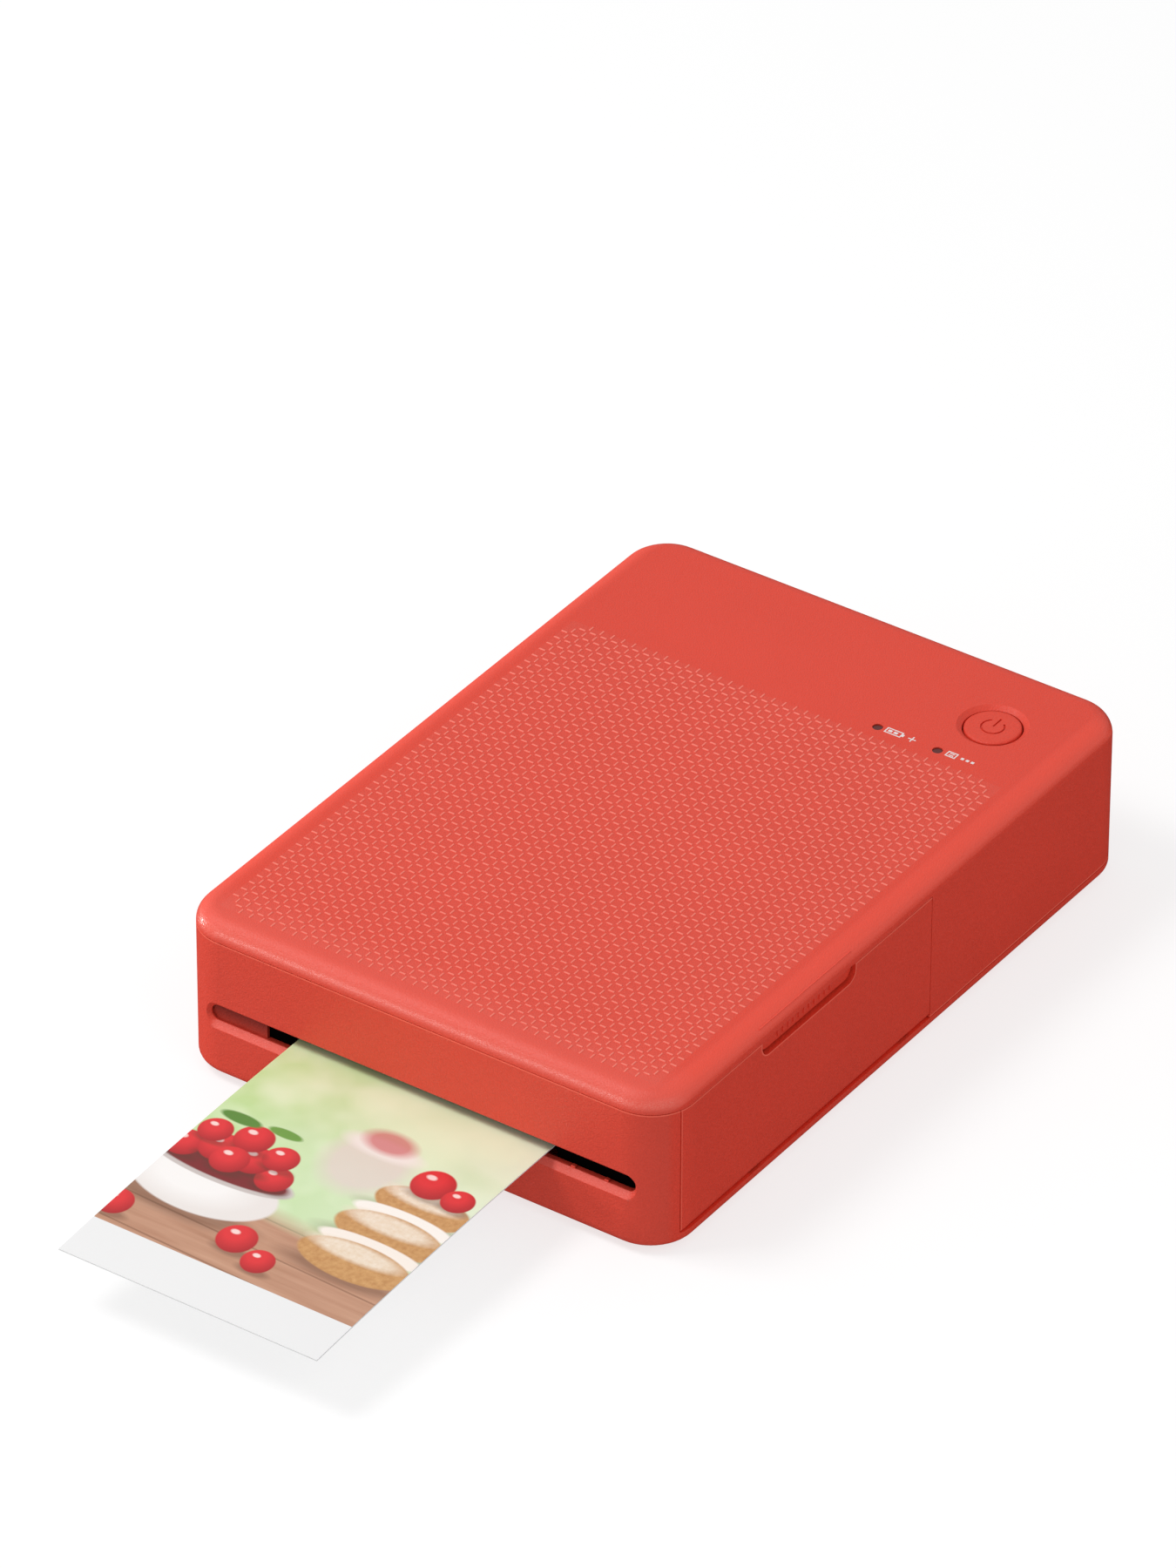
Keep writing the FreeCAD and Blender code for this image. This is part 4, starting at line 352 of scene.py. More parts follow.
def circuit_board(name, colours):
    """Green lacquer over copper tracks, with tinned pads."""
    finish = Finish(name)
    pitch = 1.27
    across, along = (((axis / pitch).fraction() - 0.5).size().below(0.16) for axis in finish.place()[:2])
    chooser = finish.noise(5.0, 0.0).above(0.5)
    track = across * chooser + along * (1.0 - chooser)
    pads = finish.add("TexVoronoi", {"Vector": finish.where, "Scale": 1 / 3.2}).below(0.13)
    base = finish.blend(track * 0.75, colours.board, darker(colours.board, 2.1))
    finish.set("Base Color", finish.blend(pads, base, linear(205, 190, 150)))
    finish.set("Metallic", pads * 0.8)
    finish.set("Roughness", 0.32 - pads * 0.06 + (finish.noise(0.6) - 0.5) * 0.1)
    finish.relief(track + pads * 1.5, 0.5, 0.03)
    return finish


def wound_film(name, colour, spool):
    """A roll of thin film, with its edge lines in rings round the middle of its spool's box."""
    finish = Finish(name)
    low, high = spool
    y, z = (finish.place()[axis] - (low[axis] + high[axis]) / 2 / MM for axis in (1, 2))
    radius = (y * y + z * z).root()
    rings = ((radius / 0.22).fraction() - 0.5).size() * 2.0
    streaks = finish.noise(0.5, 2.0, (1.0, 30.0, 30.0))
    tone = rings * 0.5 + streaks * 0.4
    finish.set("Base Color", finish.blend(tone, darker(colour, 0.7), darker(colour, 1.1)))
    finish.set("Roughness", 0.2 + rings * 0.12 + streaks * 0.08)
    finish.relief(rings + streaks * 0.3, 0.35, 0.02)
    return finish


def colour_film(name, colours):
    """The free film: one colour panel after another along its run."""
    finish = Finish(name)
    along = finish.place()[1]
    streaks = finish.noise(0.8, 2.0, (1.0, 20.0, 20.0))
    panel = finish.blend(along.above(CASE_BACK - 33.0), colours.film_cyan, colours.film_magenta)
    panel = finish.blend(along.above(CASE_BACK - 21.0), panel, colours.film_yellow)
    finish.set("Base Color", finish.blend(streaks * 0.25, panel, (0.02, 0.02, 0.02)))
    finish.set("Roughness", 0.16 + streaks * 0.12)
    finish.relief(streaks, 0.4, 0.05)
    return finish


def paper_block(name, colours):
    """Sheets seen on edge: faint lines one above another, bright and smooth on top."""
    finish = Finish(name)
    sheet = 0.25
    sheets = ((finish.place()[2] / sheet).fraction() - 0.5).size() * 2.0
    edge = sheets.above(0.75) * 0.4
    fibre = finish.noise(0.3, 4.0)
    finish.set("Base Color", finish.blend(edge + fibre * 0.06, colours.paper, (0.45, 0.44, 0.42)))
    finish.set("Roughness", 0.42 + fibre * 0.12)
    finish.relief(sheets, 0.25, 0.04)
    return finish


def battery_pouch(name, colours):
    """A silver pouch with amber tape round its ends and a slightly crumpled skin."""
    finish = Finish(name)
    tape = finish.place()[0].size().above(20.5)
    crumple = finish.noise(6.0, 3.0)
    fine = finish.noise(0.7, 3.0)
    skin = finish.blend(crumple, (0.48, 0.49, 0.52), (0.62, 0.63, 0.66))
    finish.set("Base Color", finish.blend(tape, skin, colours.tape))
    finish.set("Metallic", 0.85 - tape * 0.8)
    finish.set("Roughness", 0.34 + crumple * 0.15 - tape * 0.1)
    finish.relief(crumple + fine * 0.15, 0.6, 0.25)
    return finish


def lens(name, colour):
    """A tinted light pipe: dark and glossy from above, clear below the lid."""
    finish = Finish(name)
    tinted = finish.place()[2].above(TOP - 1.2)
    haze = finish.noise(0.4)
    finish.set("Base Color", finish.blend(tinted, (0.75, 0.77, 0.8), colour))
    finish.set("Roughness", 0.16 + haze * 0.1)
    finish.relief(haze, 0.15, 0.02)
    return finish


def spot(x, y, centre_x, centre_y, reach_x, reach_y, softness=0.08):
    """How far a point lies inside an oval: 1 well inside, 0 outside, with a soft edge."""
    across = (x - centre_x) / reach_x
    up = (y - centre_y) / reach_y
    distance = (across * across + up * up).root()
    return ((1.0 - distance) / softness + 0.5).limited()


def picture_colours(finish):
    """The picture on the print: a bowl of cherries, rolls and a cup on a table, before soft greenery."""
    x, y = finish.place()[:2]
    up = y - (FRONT - 56.6)
    drift = finish.noise(14.0, 1.0)
    leaf = finish.noise(7.0, 1.0)
    sky = finish.blend((up / 60.0).limited(), linear(178, 214, 138), linear(202, 232, 168))
    sky = finish.blend(((x + 20.0) / 46.0).limited() * 0.75, sky, linear(238, 246, 226))
    scene = finish.blend((leaf * 2.2 - 0.8).limited() * 0.7, sky, linear(232, 246, 212))
    scene = finish.blend((drift * 2.4 - 1.2).limited() * 0.45, scene, linear(158, 200, 120))
    for centre_x, centre_y, reach, strength in (
        (-19.0, 47.0, 5.5, 0.35), (-6.0, 52.0, 4.0, 0.4), (9.0, 46.0, 6.5, 0.45), (20.0, 53.0, 4.5, 0.4),
        (23.0, 38.0, 3.4, 0.3), (-24.0, 35.0, 3.0, 0.25), (6.0, 54.0, 12.0, 0.5),
    ):
        light = spot(x, up, centre_x, centre_y, reach, reach, 0.6)
        scene = finish.blend(light * strength, scene, linear(236, 250, 214))

    plank = finish.noise(1.6, 3.0, (14.0, 1.0, 1.0))
    wood = finish.blend(plank, linear(168, 116, 88), linear(218, 172, 144))
    joint = ((up + x * 0.04) / 7.5).fraction().below(0.05)
    wood = finish.blend(joint * 0.45, wood, linear(112, 72, 48))
    table = ((19.0 - up - x * 0.08) / 5.0).limited()
    scene = finish.blend(table, scene, wood)

    enlarged = 1.22
    wide = x / enlarged
    tall = (up - 5.0) / enlarged + 5.0

    def oval(base, middle_x, middle_y, reach_x, reach_y, colour, softness=0.08, strength=1.0):
        """One soft-edged oval, in screen colours or in a shade."""
        colour = linear(*colour) if isinstance(colour, tuple) else colour
        mask = spot(wide, tall, middle_x, middle_y, reach_x, reach_y, softness)
        return finish.blend(mask * strength if strength < 1.0 else mask, base, colour)

    def cherry(base, middle_x, middle_y, radius):
        """A round fruit, lit from the upper left, with a bright glint."""
        base = oval(base, middle_x + radius * 0.2, middle_y - radius * 0.85, radius * 1.05, radius * 0.35,
                    (86, 52, 38), 0.6, 0.45)
        reach = radius * 1.3
        lit = spot(wide, tall, middle_x - radius * 0.3, middle_y + radius * 0.35, reach, reach, 1.2)
        skin = finish.blend(lit, linear(112, 10, 20), linear(226, 52, 56))
        base = oval(base, middle_x, middle_y, radius, radius, skin)
        return oval(base, middle_x - radius * 0.35, middle_y + radius * 0.4, radius * 0.24, radius * 0.16,
                    (255, 232, 226), 0.5, 0.85)

    def roll(base, middle_x, middle_y, reach_x, reach_y):
        """A baked roll with a dusted top."""
        base = oval(base, middle_x, middle_y - reach_y * 0.8, reach_x * 1.05, reach_y * 0.5,
                    (96, 62, 42), 0.6, 0.5)
        crumb = finish.noise(0.9, 4.0)
        crust = finish.blend(crumb, linear(176, 118, 66), linear(226, 178, 118))
        base = oval(base, middle_x, middle_y, reach_x, reach_y, crust, 0.06)
        dust = finish.blend(crumb, linear(232, 206, 172), linear(252, 244, 232))
        return oval(base, middle_x - reach_x * 0.1, middle_y + reach_y * 0.45, reach_x * 0.78,
                    reach_y * 0.45, dust, 0.5, 0.9)

    # From the back to the front: the cup, the layered rolls, the bowl and its fruit, the loose fruit.
    for draw, *values in (
        (oval, 3.0, 31.0, 6.4, 6.8, (228, 214, 206), 0.5, 0.85),
        (oval, 3.0, 35.0, 6.2, 2.0, (246, 238, 232), 0.5, 0.8),
        (oval, 3.0, 36.6, 4.0, 2.4, (206, 92, 96), 0.55, 0.75),
        (roll, 15.2, 27.0, 7.6, 3.8),
        (oval, 14.6, 23.2, 8.2, 2.0, (252, 246, 238), 0.12),
        (roll, 14.8, 19.6, 8.8, 4.0),
        (oval, 14.4, 15.8, 8.6, 1.9, (250, 240, 230), 0.12),
        (roll, 14.2, 12.2, 9.2, 3.9),
        (cherry, 13.4, 32.2, 3.3),
        (cherry, 18.4, 31.0, 2.5),
        (oval, -13.5, 9.4, 11.5, 2.6, (90, 58, 40), 0.6, 0.5),
        (oval, -13.5, 15.0, 12.0, 6.4, (236, 230, 226), 0.05),
        (oval, -15.5, 15.6, 8.4, 4.6, (252, 250, 248), 0.7, 0.8),
        (oval, -13.5, 19.2, 12.2, 3.2, (204, 194, 190), 0.06),
        (oval, -13.5, 19.4, 11.2, 2.6, (126, 40, 42), 0.1),
        (cherry, -21.2, 21.0, 2.9),
        (cherry, -5.8, 21.0, 2.8),
        (cherry, -16.4, 22.8, 3.1),
        (cherry, -10.6, 22.9, 3.0),
        (cherry, -19.2, 25.6, 2.6),
        (cherry, -7.6, 25.2, 2.7),
        (cherry, -13.4, 26.8, 3.0),
        (cherry, -13.6, 21.2, 2.9),
        (oval, -17.6, 29.6, 3.4, 1.1, (92, 140, 58), 0.25),
        (oval, -10.4, 30.2, 2.8, 0.9, (112, 160, 70), 0.25),
        (cherry, -2.4, 7.6, 3.0),
        (cherry, -21.6, 5.2, 2.8),
        (cherry, 2.9, 5.2, 2.5),
    ):
        scene = draw(scene, *values)
    return scene, up


def photo_paper(name, colours):
    """Glossy printed paper with a bare white strip at its leading end."""
    finish = Finish(name)
    picture, up = picture_colours(finish)
    margin = 1.0 - ((up + 0.05) / 0.1).limited()
    fibre = finish.noise(0.5, 3.0)
    white = finish.blend(fibre, darker(colours.paper, 0.985), colours.paper)
    finish.set("Base Color", finish.blend(margin, picture, white))
    finish.set("Roughness", 0.2 + fibre * 0.07)
    finish.relief(finish.noise(5.0), 0.2, 0.05)
    return finish


def paper_back(name, colours):
    finish = Finish(name)
    fibre = finish.noise(0.35, 4.0)
    finish.set("Base Color", finish.blend(fibre, darker(colours.paper, 0.93), colours.paper))
    finish.set("Roughness", 0.5 + fibre * 0.15)
    finish.relief(fibre, 0.3, 0.02)
    return finish


FINISHES = {}


def coat(thing, finish):
    """Give a piece one finish all over."""
    if not thing.material_slots:
        thing.data.materials.append(finish.material)
    for slot in thing.material_slots:
        slot.material = finish.material


# Modelling steps

def select_only(*things):
    bpy.ops.object.select_all(action="DESELECT")
    for thing in things:
        thing.select_set(True)
    bpy.context.view_layer.objects.active = things[0]


def settle(thing, name):
    """Name a piece and bring its place into its mesh."""
    select_only(thing)
    bpy.ops.object.transform_apply(location=True, rotation=True, scale=True)
    thing.name = name
    thing.data.name = name
    return thing


def start_edit(thing):
    """Edit a piece with all its faces selected."""
    select_only(thing)
    bpy.ops.object.mode_set(mode="EDIT")
    bpy.ops.mesh.select_mode(type="FACE")
    bpy.ops.mesh.select_all(action="SELECT")


def end_edit():
    bpy.ops.object.mode_set(mode="OBJECT")


def pick_faces(thing, wanted):
    """Select, in edit mode, the faces that the test picks."""
    start_edit(thing)
    bpy.ops.mesh.select_all(action="DESELECT")
    end_edit()
    for face in thing.data.polygons:
        face.select = wanted(face)
    bpy.ops.object.mode_set(mode="EDIT")


def apply_all(thing):
    select_only(thing)
    for modifier in list(thing.modifiers):
        bpy.ops.object.modifier_apply(modifier=modifier.name)


def outward(thing):
    start_edit(thing)
    bpy.ops.mesh.remove_doubles(threshold=0.000001)
    bpy.ops.mesh.normals_make_consistent(inside=False)
    end_edit()


def smooth(thing, degrees):
    select_only(thing)
    bpy.ops.object.shade_smooth_by_angle(angle=math.radians(degrees))


def block(name, x, y, z, edge=0.0, segments=2):
    """A block between two places on each axis, in millimetres, with its edges eased."""
    middle = tuple((low + high) / 2 * MM for low, high in (x, y, z))
    bpy.ops.mesh.primitive_cube_add(size=1, location=middle)
    thing = bpy.context.object
    thing.scale = tuple((high - low) * MM for low, high in (x, y, z))
    settle(thing, name)
    if edge:
        start_edit(thing)
        bpy.ops.mesh.bevel(offset=edge * MM, segments=segments, affect="EDGES")
        end_edit()
    return thing


def turned(name, centre, profile, sides):
    """A round piece, drawn up step by step along its profile of (radius, height) in millimetres."""
    radius, height = profile[0]
    place = Vector((*centre, height)) * MM
    bpy.ops.mesh.primitive_circle_add(vertices=sides, radius=radius * MM, fill_type="NGON", location=place)
    thing = bpy.context.object
    settle(thing, name)
    start_edit(thing)
    for next_radius, next_height in profile[1:]:
        rise = (0.0, 0.0, (next_height - height) * MM)
        bpy.ops.mesh.extrude_region_move(TRANSFORM_OT_translate={"value": rise})
        share = next_radius / radius
        middle = (centre[0] * MM, centre[1] * MM, next_height * MM)
        bpy.ops.transform.resize(value=(share, share, 1.0), center_override=middle)
        radius, height = next_radius, next_height
    end_edit()
    outward(thing)
    return thing


def swept_bar(name, centre, radius, width, low, high, start, angle, steps):
    """A bar bent round a centre, its sizes in millimetres and its angles in degrees."""
    turn = Matrix.Rotation(math.radians(start), 4, "Z")
    middle = Vector((*centre, (low + high) / 2)) * MM
    place = middle + turn @ Vector((radius * MM, 0.0, 0.0))
    bpy.ops.mesh.primitive_plane_add(size=1, location=place)
    thing = bpy.context.object
    thing.rotation_euler = (math.pi / 2, 0.0, math.radians(start))
    thing.scale = (width * MM, (high - low) * MM, 1.0)
    settle(thing, name)
    start_edit(thing)
    bpy.ops.mesh.spin(steps=steps, angle=math.radians(angle), center=middle, axis=(0.0, 0.0, 1.0))
    end_edit()
    outward(thing)
    return thing


def join(name, things):
    select_only(*things)
    bpy.ops.object.join()
    return settle(bpy.context.object, name)


def copy_of(thing, move):
    """Another of the same piece, moved in millimetres, with its own mesh."""
    select_only(thing)
    bpy.ops.object.duplicate()
    bpy.ops.transform.translate(value=tuple(step * MM for step in move))
    return settle(bpy.context.object, thing.name)


def carve(thing, tool):
    """Cut one closed piece out of another."""
    cutter = thing.modifiers.new("carve", "BOOLEAN")
    cutter.operation = "DIFFERENCE"
    cutter.solver = "EXACT"
    cutter.object = tool
    apply_all(thing)
    bpy.data.objects.remove(tool)


def add_piece(thing, body, finish):
    """Hand a finished piece over: its finish and the body that it moves with."""
    if finish is not None:
        coat(thing, finish)
    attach(thing, body)


# What a user would change

def length(name, description, default, low, high):
    """A size in millimetres, between two limits."""
    return FloatProperty(name=name, description=description, default=default, min=low, max=high)


def tint(name, description, default):
    return FloatVectorProperty(name=name, description=description, default=default, subtype="COLOR")


def amount(name, description, default, unit="NONE"):
    return FloatProperty(name=name, description=description, default=default, unit=unit)


class PrinterSizes(bpy.types.PropertyGroup):
    """Sizes of the fine detail, in millimetres."""

    dash_length: length("Dash length", "Length of a raised dash on the lid", 1.4, 0.2, 3.0)
    dash_width: length("Dash width", "Width of a raised dash at its foot", 0.46, 0.1, 1.0)
    dash_height: length("Dash height", "How far a dash stands above the lid", 0.12, 0.02, 0.5)
    dash_pitch: length("Dash pitch", "Spacing of the dashes both ways", 2.302, 1.0, 5.0)
    symbol_radius: length("Symbol radius", "Radius of the ring of the power symbol", 2.1, 0.5, 4.0)
    symbol_width: length("Symbol line width", "Width of the power symbol's groove", 0.34, 0.1, 1.0)
    symbol_depth: length("Symbol depth", "Depth of the power symbol's groove", 0.32, 0.02, 0.5)
    ink_height: length("Printed mark height", "Thickness of the white printed marks", 0.02, 0.005, 0.1)


class PrinterColours(bpy.types.PropertyGroup):
    """Colours of the finishes."""

    case: tint("Case", "Moulded case plastic", (0.755, 0.061, 0.033))
    field: tint("Patterned field", "Lid between the raised dashes", (0.745, 0.074, 0.045))
    # Painted highlight: the paler colour of the lid's front margin and the slot's lower lip.
    painted_highlight: tint("Painted highlight", "The lid's front margin and the slot's lower lip", (0.80, 0.125, 0.092))
    # Painted highlight on the lid's side bends.
    painted_bend_highlight: tint("Side bends", "The lid's bends at its sides", (0.97, 0.100, 0.062))
    # Painted highlight: bright glints along the lid's front bend.
    painted_glint: tint("Specks", "Bright grains along the lid's front bend", (0.92, 0.27, 0.22))
    # Painted shade: the case's two long sides get a deeper red than the lid.
    painted_flank_shade: tint("Flanks", "The case's two long sides", (0.80, 0.050, 0.023))
    # Painted highlight on the tops of the dashes.
    painted_dash_highlight: tint("Raised dashes", "Tops of the dashes on the lid", (0.90, 0.205, 0.150))
    # Painted highlight along the parting edges.
    edge: tint("Edges", "Parting edges, where they catch the light", (0.95, 0.135, 0.085))
    paper: tint("Paper", "Bare photo paper", (0.86, 0.86, 0.86))
    ink: tint("Printed marks", "White marks beside the two lights", (0.80, 0.74, 0.73))
    board: tint("Board", "Lacquer of the circuit boards", (0.012, 0.085, 0.03))
    nylon: tint("Gears", "Nylon of the gears and spools", (0.78, 0.76, 0.69))
    dark: tint("Chassis", "Dark plastic inside", (0.014, 0.014, 0.016))
    cassette: tint("Cassette", "Plastic of the ribbon cassette", (0.055, 0.058, 0.066))
    film_yellow: tint("Yellow film", "Yellow panel of the film", (0.72, 0.52, 0.03))
    film_magenta: tint("Magenta film", "Magenta panel of the film", (0.48, 0.03, 0.16))
    film_cyan: tint("Cyan film", "Cyan panel of the film", (0.02, 0.28, 0.42))
    tape: tint("Tape", "Amber tape round the battery's ends", (0.55, 0.24, 0.03))
    lens: tint("Indicator lens", "Dark tint of the two indicator lights", (0.11, 0.012, 0.01))


class PrinterStage(bpy.types.PropertyGroup):
    """Camera and light."""

    azimuth: amount("Azimuth", "Camera's turn round the printer, in degrees", 34.6615)
    elevation: amount("Elevation", "Camera's height above the horizon, in degrees", 34.8276)
    roll: amount("Roll", "Camera's roll, in degrees", 0.1667)
    distance: amount("Distance", "Camera's distance from its aim", 2.05892, "LENGTH")
    lens: amount("Focal length", "Camera's focal length in millimetres", 266.57)
    key_power: amount("Key light", "Power of the large lamp above, in watts", 6.5)
    edge_power: amount("Edge light", "Power of the low lamp in front, in watts", 0.95)
    side_power: amount("Side light", "Power of the low lamp to the left, in watts", 1.7)
    fill_power: amount("Fill light", "Power of the lamp to the right, in watts", 0.95)
    sky_strength: amount("Sky strength", "Light that comes from all round", 0.54)
    floor_light: amount("Floor light", "How white the camera sees the floor", 0.72)
    floor_bounce: amount("Floor bounce", "Light that the floor gives back by itself", 0.42)


class PrinterSteps(bpy.types.PropertyGroup):
    """Fineness of the curved pieces."""

    round_sides: IntProperty(name="Round sides", description="Sides of the round pieces", default=96, min=16)
    bend_steps: IntProperty(name="Bend steps", description="Steps along the print's bend", default=24, min=4)


# The stage

def add_lamp(name, place, reach, power, aim=(0.0, 0.0, 0.0)):
    """A rectangular lamp, placed and turned to its aim in metres."""
    bpy.ops.object.light_add(type="AREA", location=place)
    lamp = bpy.context.object
    lamp.name = name
    lamp.data.shape = "RECTANGLE"
    lamp.data.size, lamp.data.size_y = reach
    lamp.data.energy = power
    lamp.rotation_mode = "QUATERNION"
    lamp.rotation_quaternion = (Vector(aim) - Vector(place)).to_track_quat("-Z", "Y")


class PRINTER_OT_stage(bpy.types.Operator):
    """Set up the camera, the pale floor and the soft studio light"""

    bl_idname = "printer.stage"
    bl_label = "Stage"

    def execute(self, context):
        stage = context.scene.printer_stage
        turns = (stage.azimuth, stage.elevation, stage.roll)
        azimuth, elevation, roll = (math.radians(turn) for turn in turns)
        aim = Vector((-28.176, 18.742 + CASE_BACK, 16.0)) * MM
        right = Vector((math.cos(azimuth), math.sin(azimuth), 0.0))
        back = Vector((math.sin(azimuth) * math.cos(elevation), -math.cos(azimuth) * math.cos(elevation),
                       math.sin(elevation)))
        up = back.cross(right)
        tilted_right = right * math.cos(roll) + up * math.sin(roll)
        tilted_up = up * math.cos(roll) - right * math.sin(roll)
        bpy.ops.object.camera_add()
        camera = context.object
        camera.name = "camera"
        rows = Matrix((tilted_right, tilted_up, back)).transposed().to_4x4()
        camera.matrix_world = Matrix.Translation(aim + back * stage.distance) @ rows
        camera.data.lens = stage.lens
        camera.data.clip_start = 0.05
        camera.data.clip_end = 50.0
        context.scene.camera = camera

        bpy.ops.mesh.primitive_plane_add(size=12.0, location=(0.0, 0.0, -0.0001))
        floor = context.object
        floor.name = "floor"
        finish = Finish("floor_finish")
        finish.set("Base Color", (0.3, 0.3, 0.3, 1.0))
        finish.set("Roughness", 0.9)
        finish.set("Specular IOR Level", 0.0)
        seen = finish.add("LightPath", output="Is Camera Ray")
        mirrored = finish.add("LightPath", output="Is Glossy Ray")
        plain = Shade(finish, finish.surface.outputs[0])
        shining = finish.add("Emission", {"Strength": stage.floor_light})
        bouncing = finish.add("Emission", {"Strength": stage.floor_bounce})
        glow = finish.add("MixShader", {0: seen, 1: bouncing, 2: shining})
        both = finish.add("AddShader", {0: plain, 1: glow})
        dim = finish.add("Emission", {"Strength": 0.02})
        above = finish.add("MixShader", {0: mirrored, 1: both, 2: dim})
        # From below, the camera looks through the floor.
        below = finish.add("NewGeometry", output="Backfacing")
        clear = finish.add("BsdfTransparent")
        choice = finish.add("MixShader", {0: below * seen, 1: above, 2: clear})
        finish.feed(finish.end.inputs["Surface"], choice)
        coat(floor, finish)

        world = bpy.data.worlds.new("studio")
        context.scene.world = world
        world.use_nodes = True
        tree = world.node_tree
        tree.nodes.clear()
        choice = tree.nodes.new("ShaderNodeMixShader")
        path = tree.nodes.new("ShaderNodeLightPath")
        tree.links.new(path.outputs["Is Camera Ray"], choice.inputs[0])
        # What lights the printer first, then the white that the camera sees.
        for place, strength in enumerate((stage.sky_strength, 1.0), start=1):
            sky = tree.nodes.new("ShaderNodeBackground")
            sky.inputs["Color"].default_value = (1.0, 1.0, 1.0, 1.0)
            sky.inputs["Strength"].default_value = strength
            tree.links.new(sky.outputs[0], choice.inputs[place])
        end = tree.nodes.new("ShaderNodeOutputWorld")
        tree.links.new(choice.outputs[0], end.inputs["Surface"])

        add_lamp("key_lamp", (-0.52, -0.34, 1.02), (0.42, 0.42), stage.key_power)
        add_lamp("edge_lamp", (-0.475, -0.83, 0.24), (0.3, 0.06), stage.edge_power)
        add_lamp("side_lamp", (-0.85, -0.14, 0.04), (0.12, 0.05), stage.side_power, (0.0, 0.0, 0.03))
        add_lamp("fill_lamp", (0.62, -0.24, 0.76), (0.5, 0.5), stage.fill_power)
        context.scene.view_settings.view_transform = "Standard"
        return {"FINISHED"}


# Finishes of the solids

class PRINTER_OT_finishes(bpy.types.Operator):
    """Make every finish and put it on the solids"""

    bl_idname = "printer.finishes"
    bl_label = "Finishes"

    def execute(self, context):
        colours = context.scene.printer_colours
        for finish, *nodes in (
            (case_plastic("case_plastic", colours),
             "top_shell", "bottom_shell", "side_door", "paper_cover", "power_button"),
            (raised_plastic("raised_plastic", colours),),
            (painted_shade_black("slot_painted_shade"),),
            (paper_block("paper_block", colours), "paper_stack"),
            (brushed_steel("sheet_steel", (0.60, 0.61, 0.63), 0.34, (1.0, 14.0, 1.0)),
             "left_side_plate", "right_side_plate", "pressure_plate", "head_arm"),
            (brushed_steel("shaft_steel", (0.66, 0.67, 0.69), 0.18),
             "capstan_shaft", "platen_shaft", "exit_shaft", "pickup_shaft", "motor_shaft",
             "head_pivot_shaft", "frame_ties", "gear_posts", "door_hinge_pins", "cover_hinge_pins"),
            (brushed_steel("spring_steel", (0.45, 0.46, 0.48), 0.26), "head_springs"),
            (brushed_steel("motor_steel", (0.52, 0.53, 0.55), 0.24), "feed_motor"),
            (brushed_steel("screw_steel", (0.30, 0.30, 0.31), 0.3, (1.0, 1.0, 1.0)), "case_screws"),
            (brushed_steel("socket_steel", (0.68, 0.69, 0.7), 0.22, (1.0, 8.0, 1.0)), "usb_charge_socket"),
            (brushed_steel("heat_sink_aluminium", (0.74, 0.75, 0.77), 0.36), "heat_sink"),
            (moulded_plastic("head_ceramic", (0.12, 0.1, 0.085), 0.2, 0.5, 0.01), "thermal_strip"),
            (rubber("dark_rubber", (0.018, 0.018, 0.02)), "rubber_feet", "pickup_tyre", "pinch_roller"),
            (rubber("grey_tyre", (0.055, 0.056, 0.06)), "exit_tyres", "platen_sleeve"),
            (moulded_plastic("nylon", colours.nylon, 0.42, 0.5, 0.02),
             "capstan_gear", "take_up_gear", "exit_idler_gear", "exit_gear", "feed_idler_front",
             "feed_idler_rear", "pickup_gear", "reduction_gear", "motor_pinion", "exit_idlers",
             "supply_spool", "take_up_spool"),
            (moulded_plastic("chassis_plastic", colours.dark, 0.48),
             "paper_guide", "feed_ramp", "battery_shelf"),
            (moulded_plastic("cassette_plastic", colours.cassette, 0.3, 0.4, 0.015), "cassette_shell"),
            (moulded_plastic("bush_plastic", (0.035, 0.035, 0.04), 0.4), "shaft_bushes"),
            (circuit_board("board_lacquer", colours), "main_board", "button_board"),
            (moulded_plastic("chip_resin", (0.016, 0.016, 0.018), 0.38, 0.2, 0.02), "board_chips"),
            (moulded_plastic("switch_plastic", (0.02, 0.02, 0.022), 0.4, 0.2, 0.02), "tact_switch"),
            (colour_film("colour_film", colours), "ink_ribbon"),
            (wound_film("take_up_film", colours.film_cyan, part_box("take_up_spool")), "take_up_roll"),
            (wound_film("supply_film", colours.film_yellow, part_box("supply_spool")), "supply_roll"),
            (battery_pouch("battery_pouch", colours), "battery_pack"),
            (lens("indicator_lens", colours.lens), "light_guides"),
            (moulded_plastic("led_resin", (0.7, 0.7, 0.62), 0.25, 0.3, 0.01), "status_leds"),
            (moulded_plastic("printed_ink", colours.ink, 0.5, 0.2, 0.005),),
            (photo_paper("photo_paper", colours),),
            (paper_back("paper_back", colours), "photo_print"),
        ):
            FINISHES[finish.name] = finish
            for node in nodes:
                coat(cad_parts[node], finish)
        return {"FINISHED"}


# Pieces of fine detail

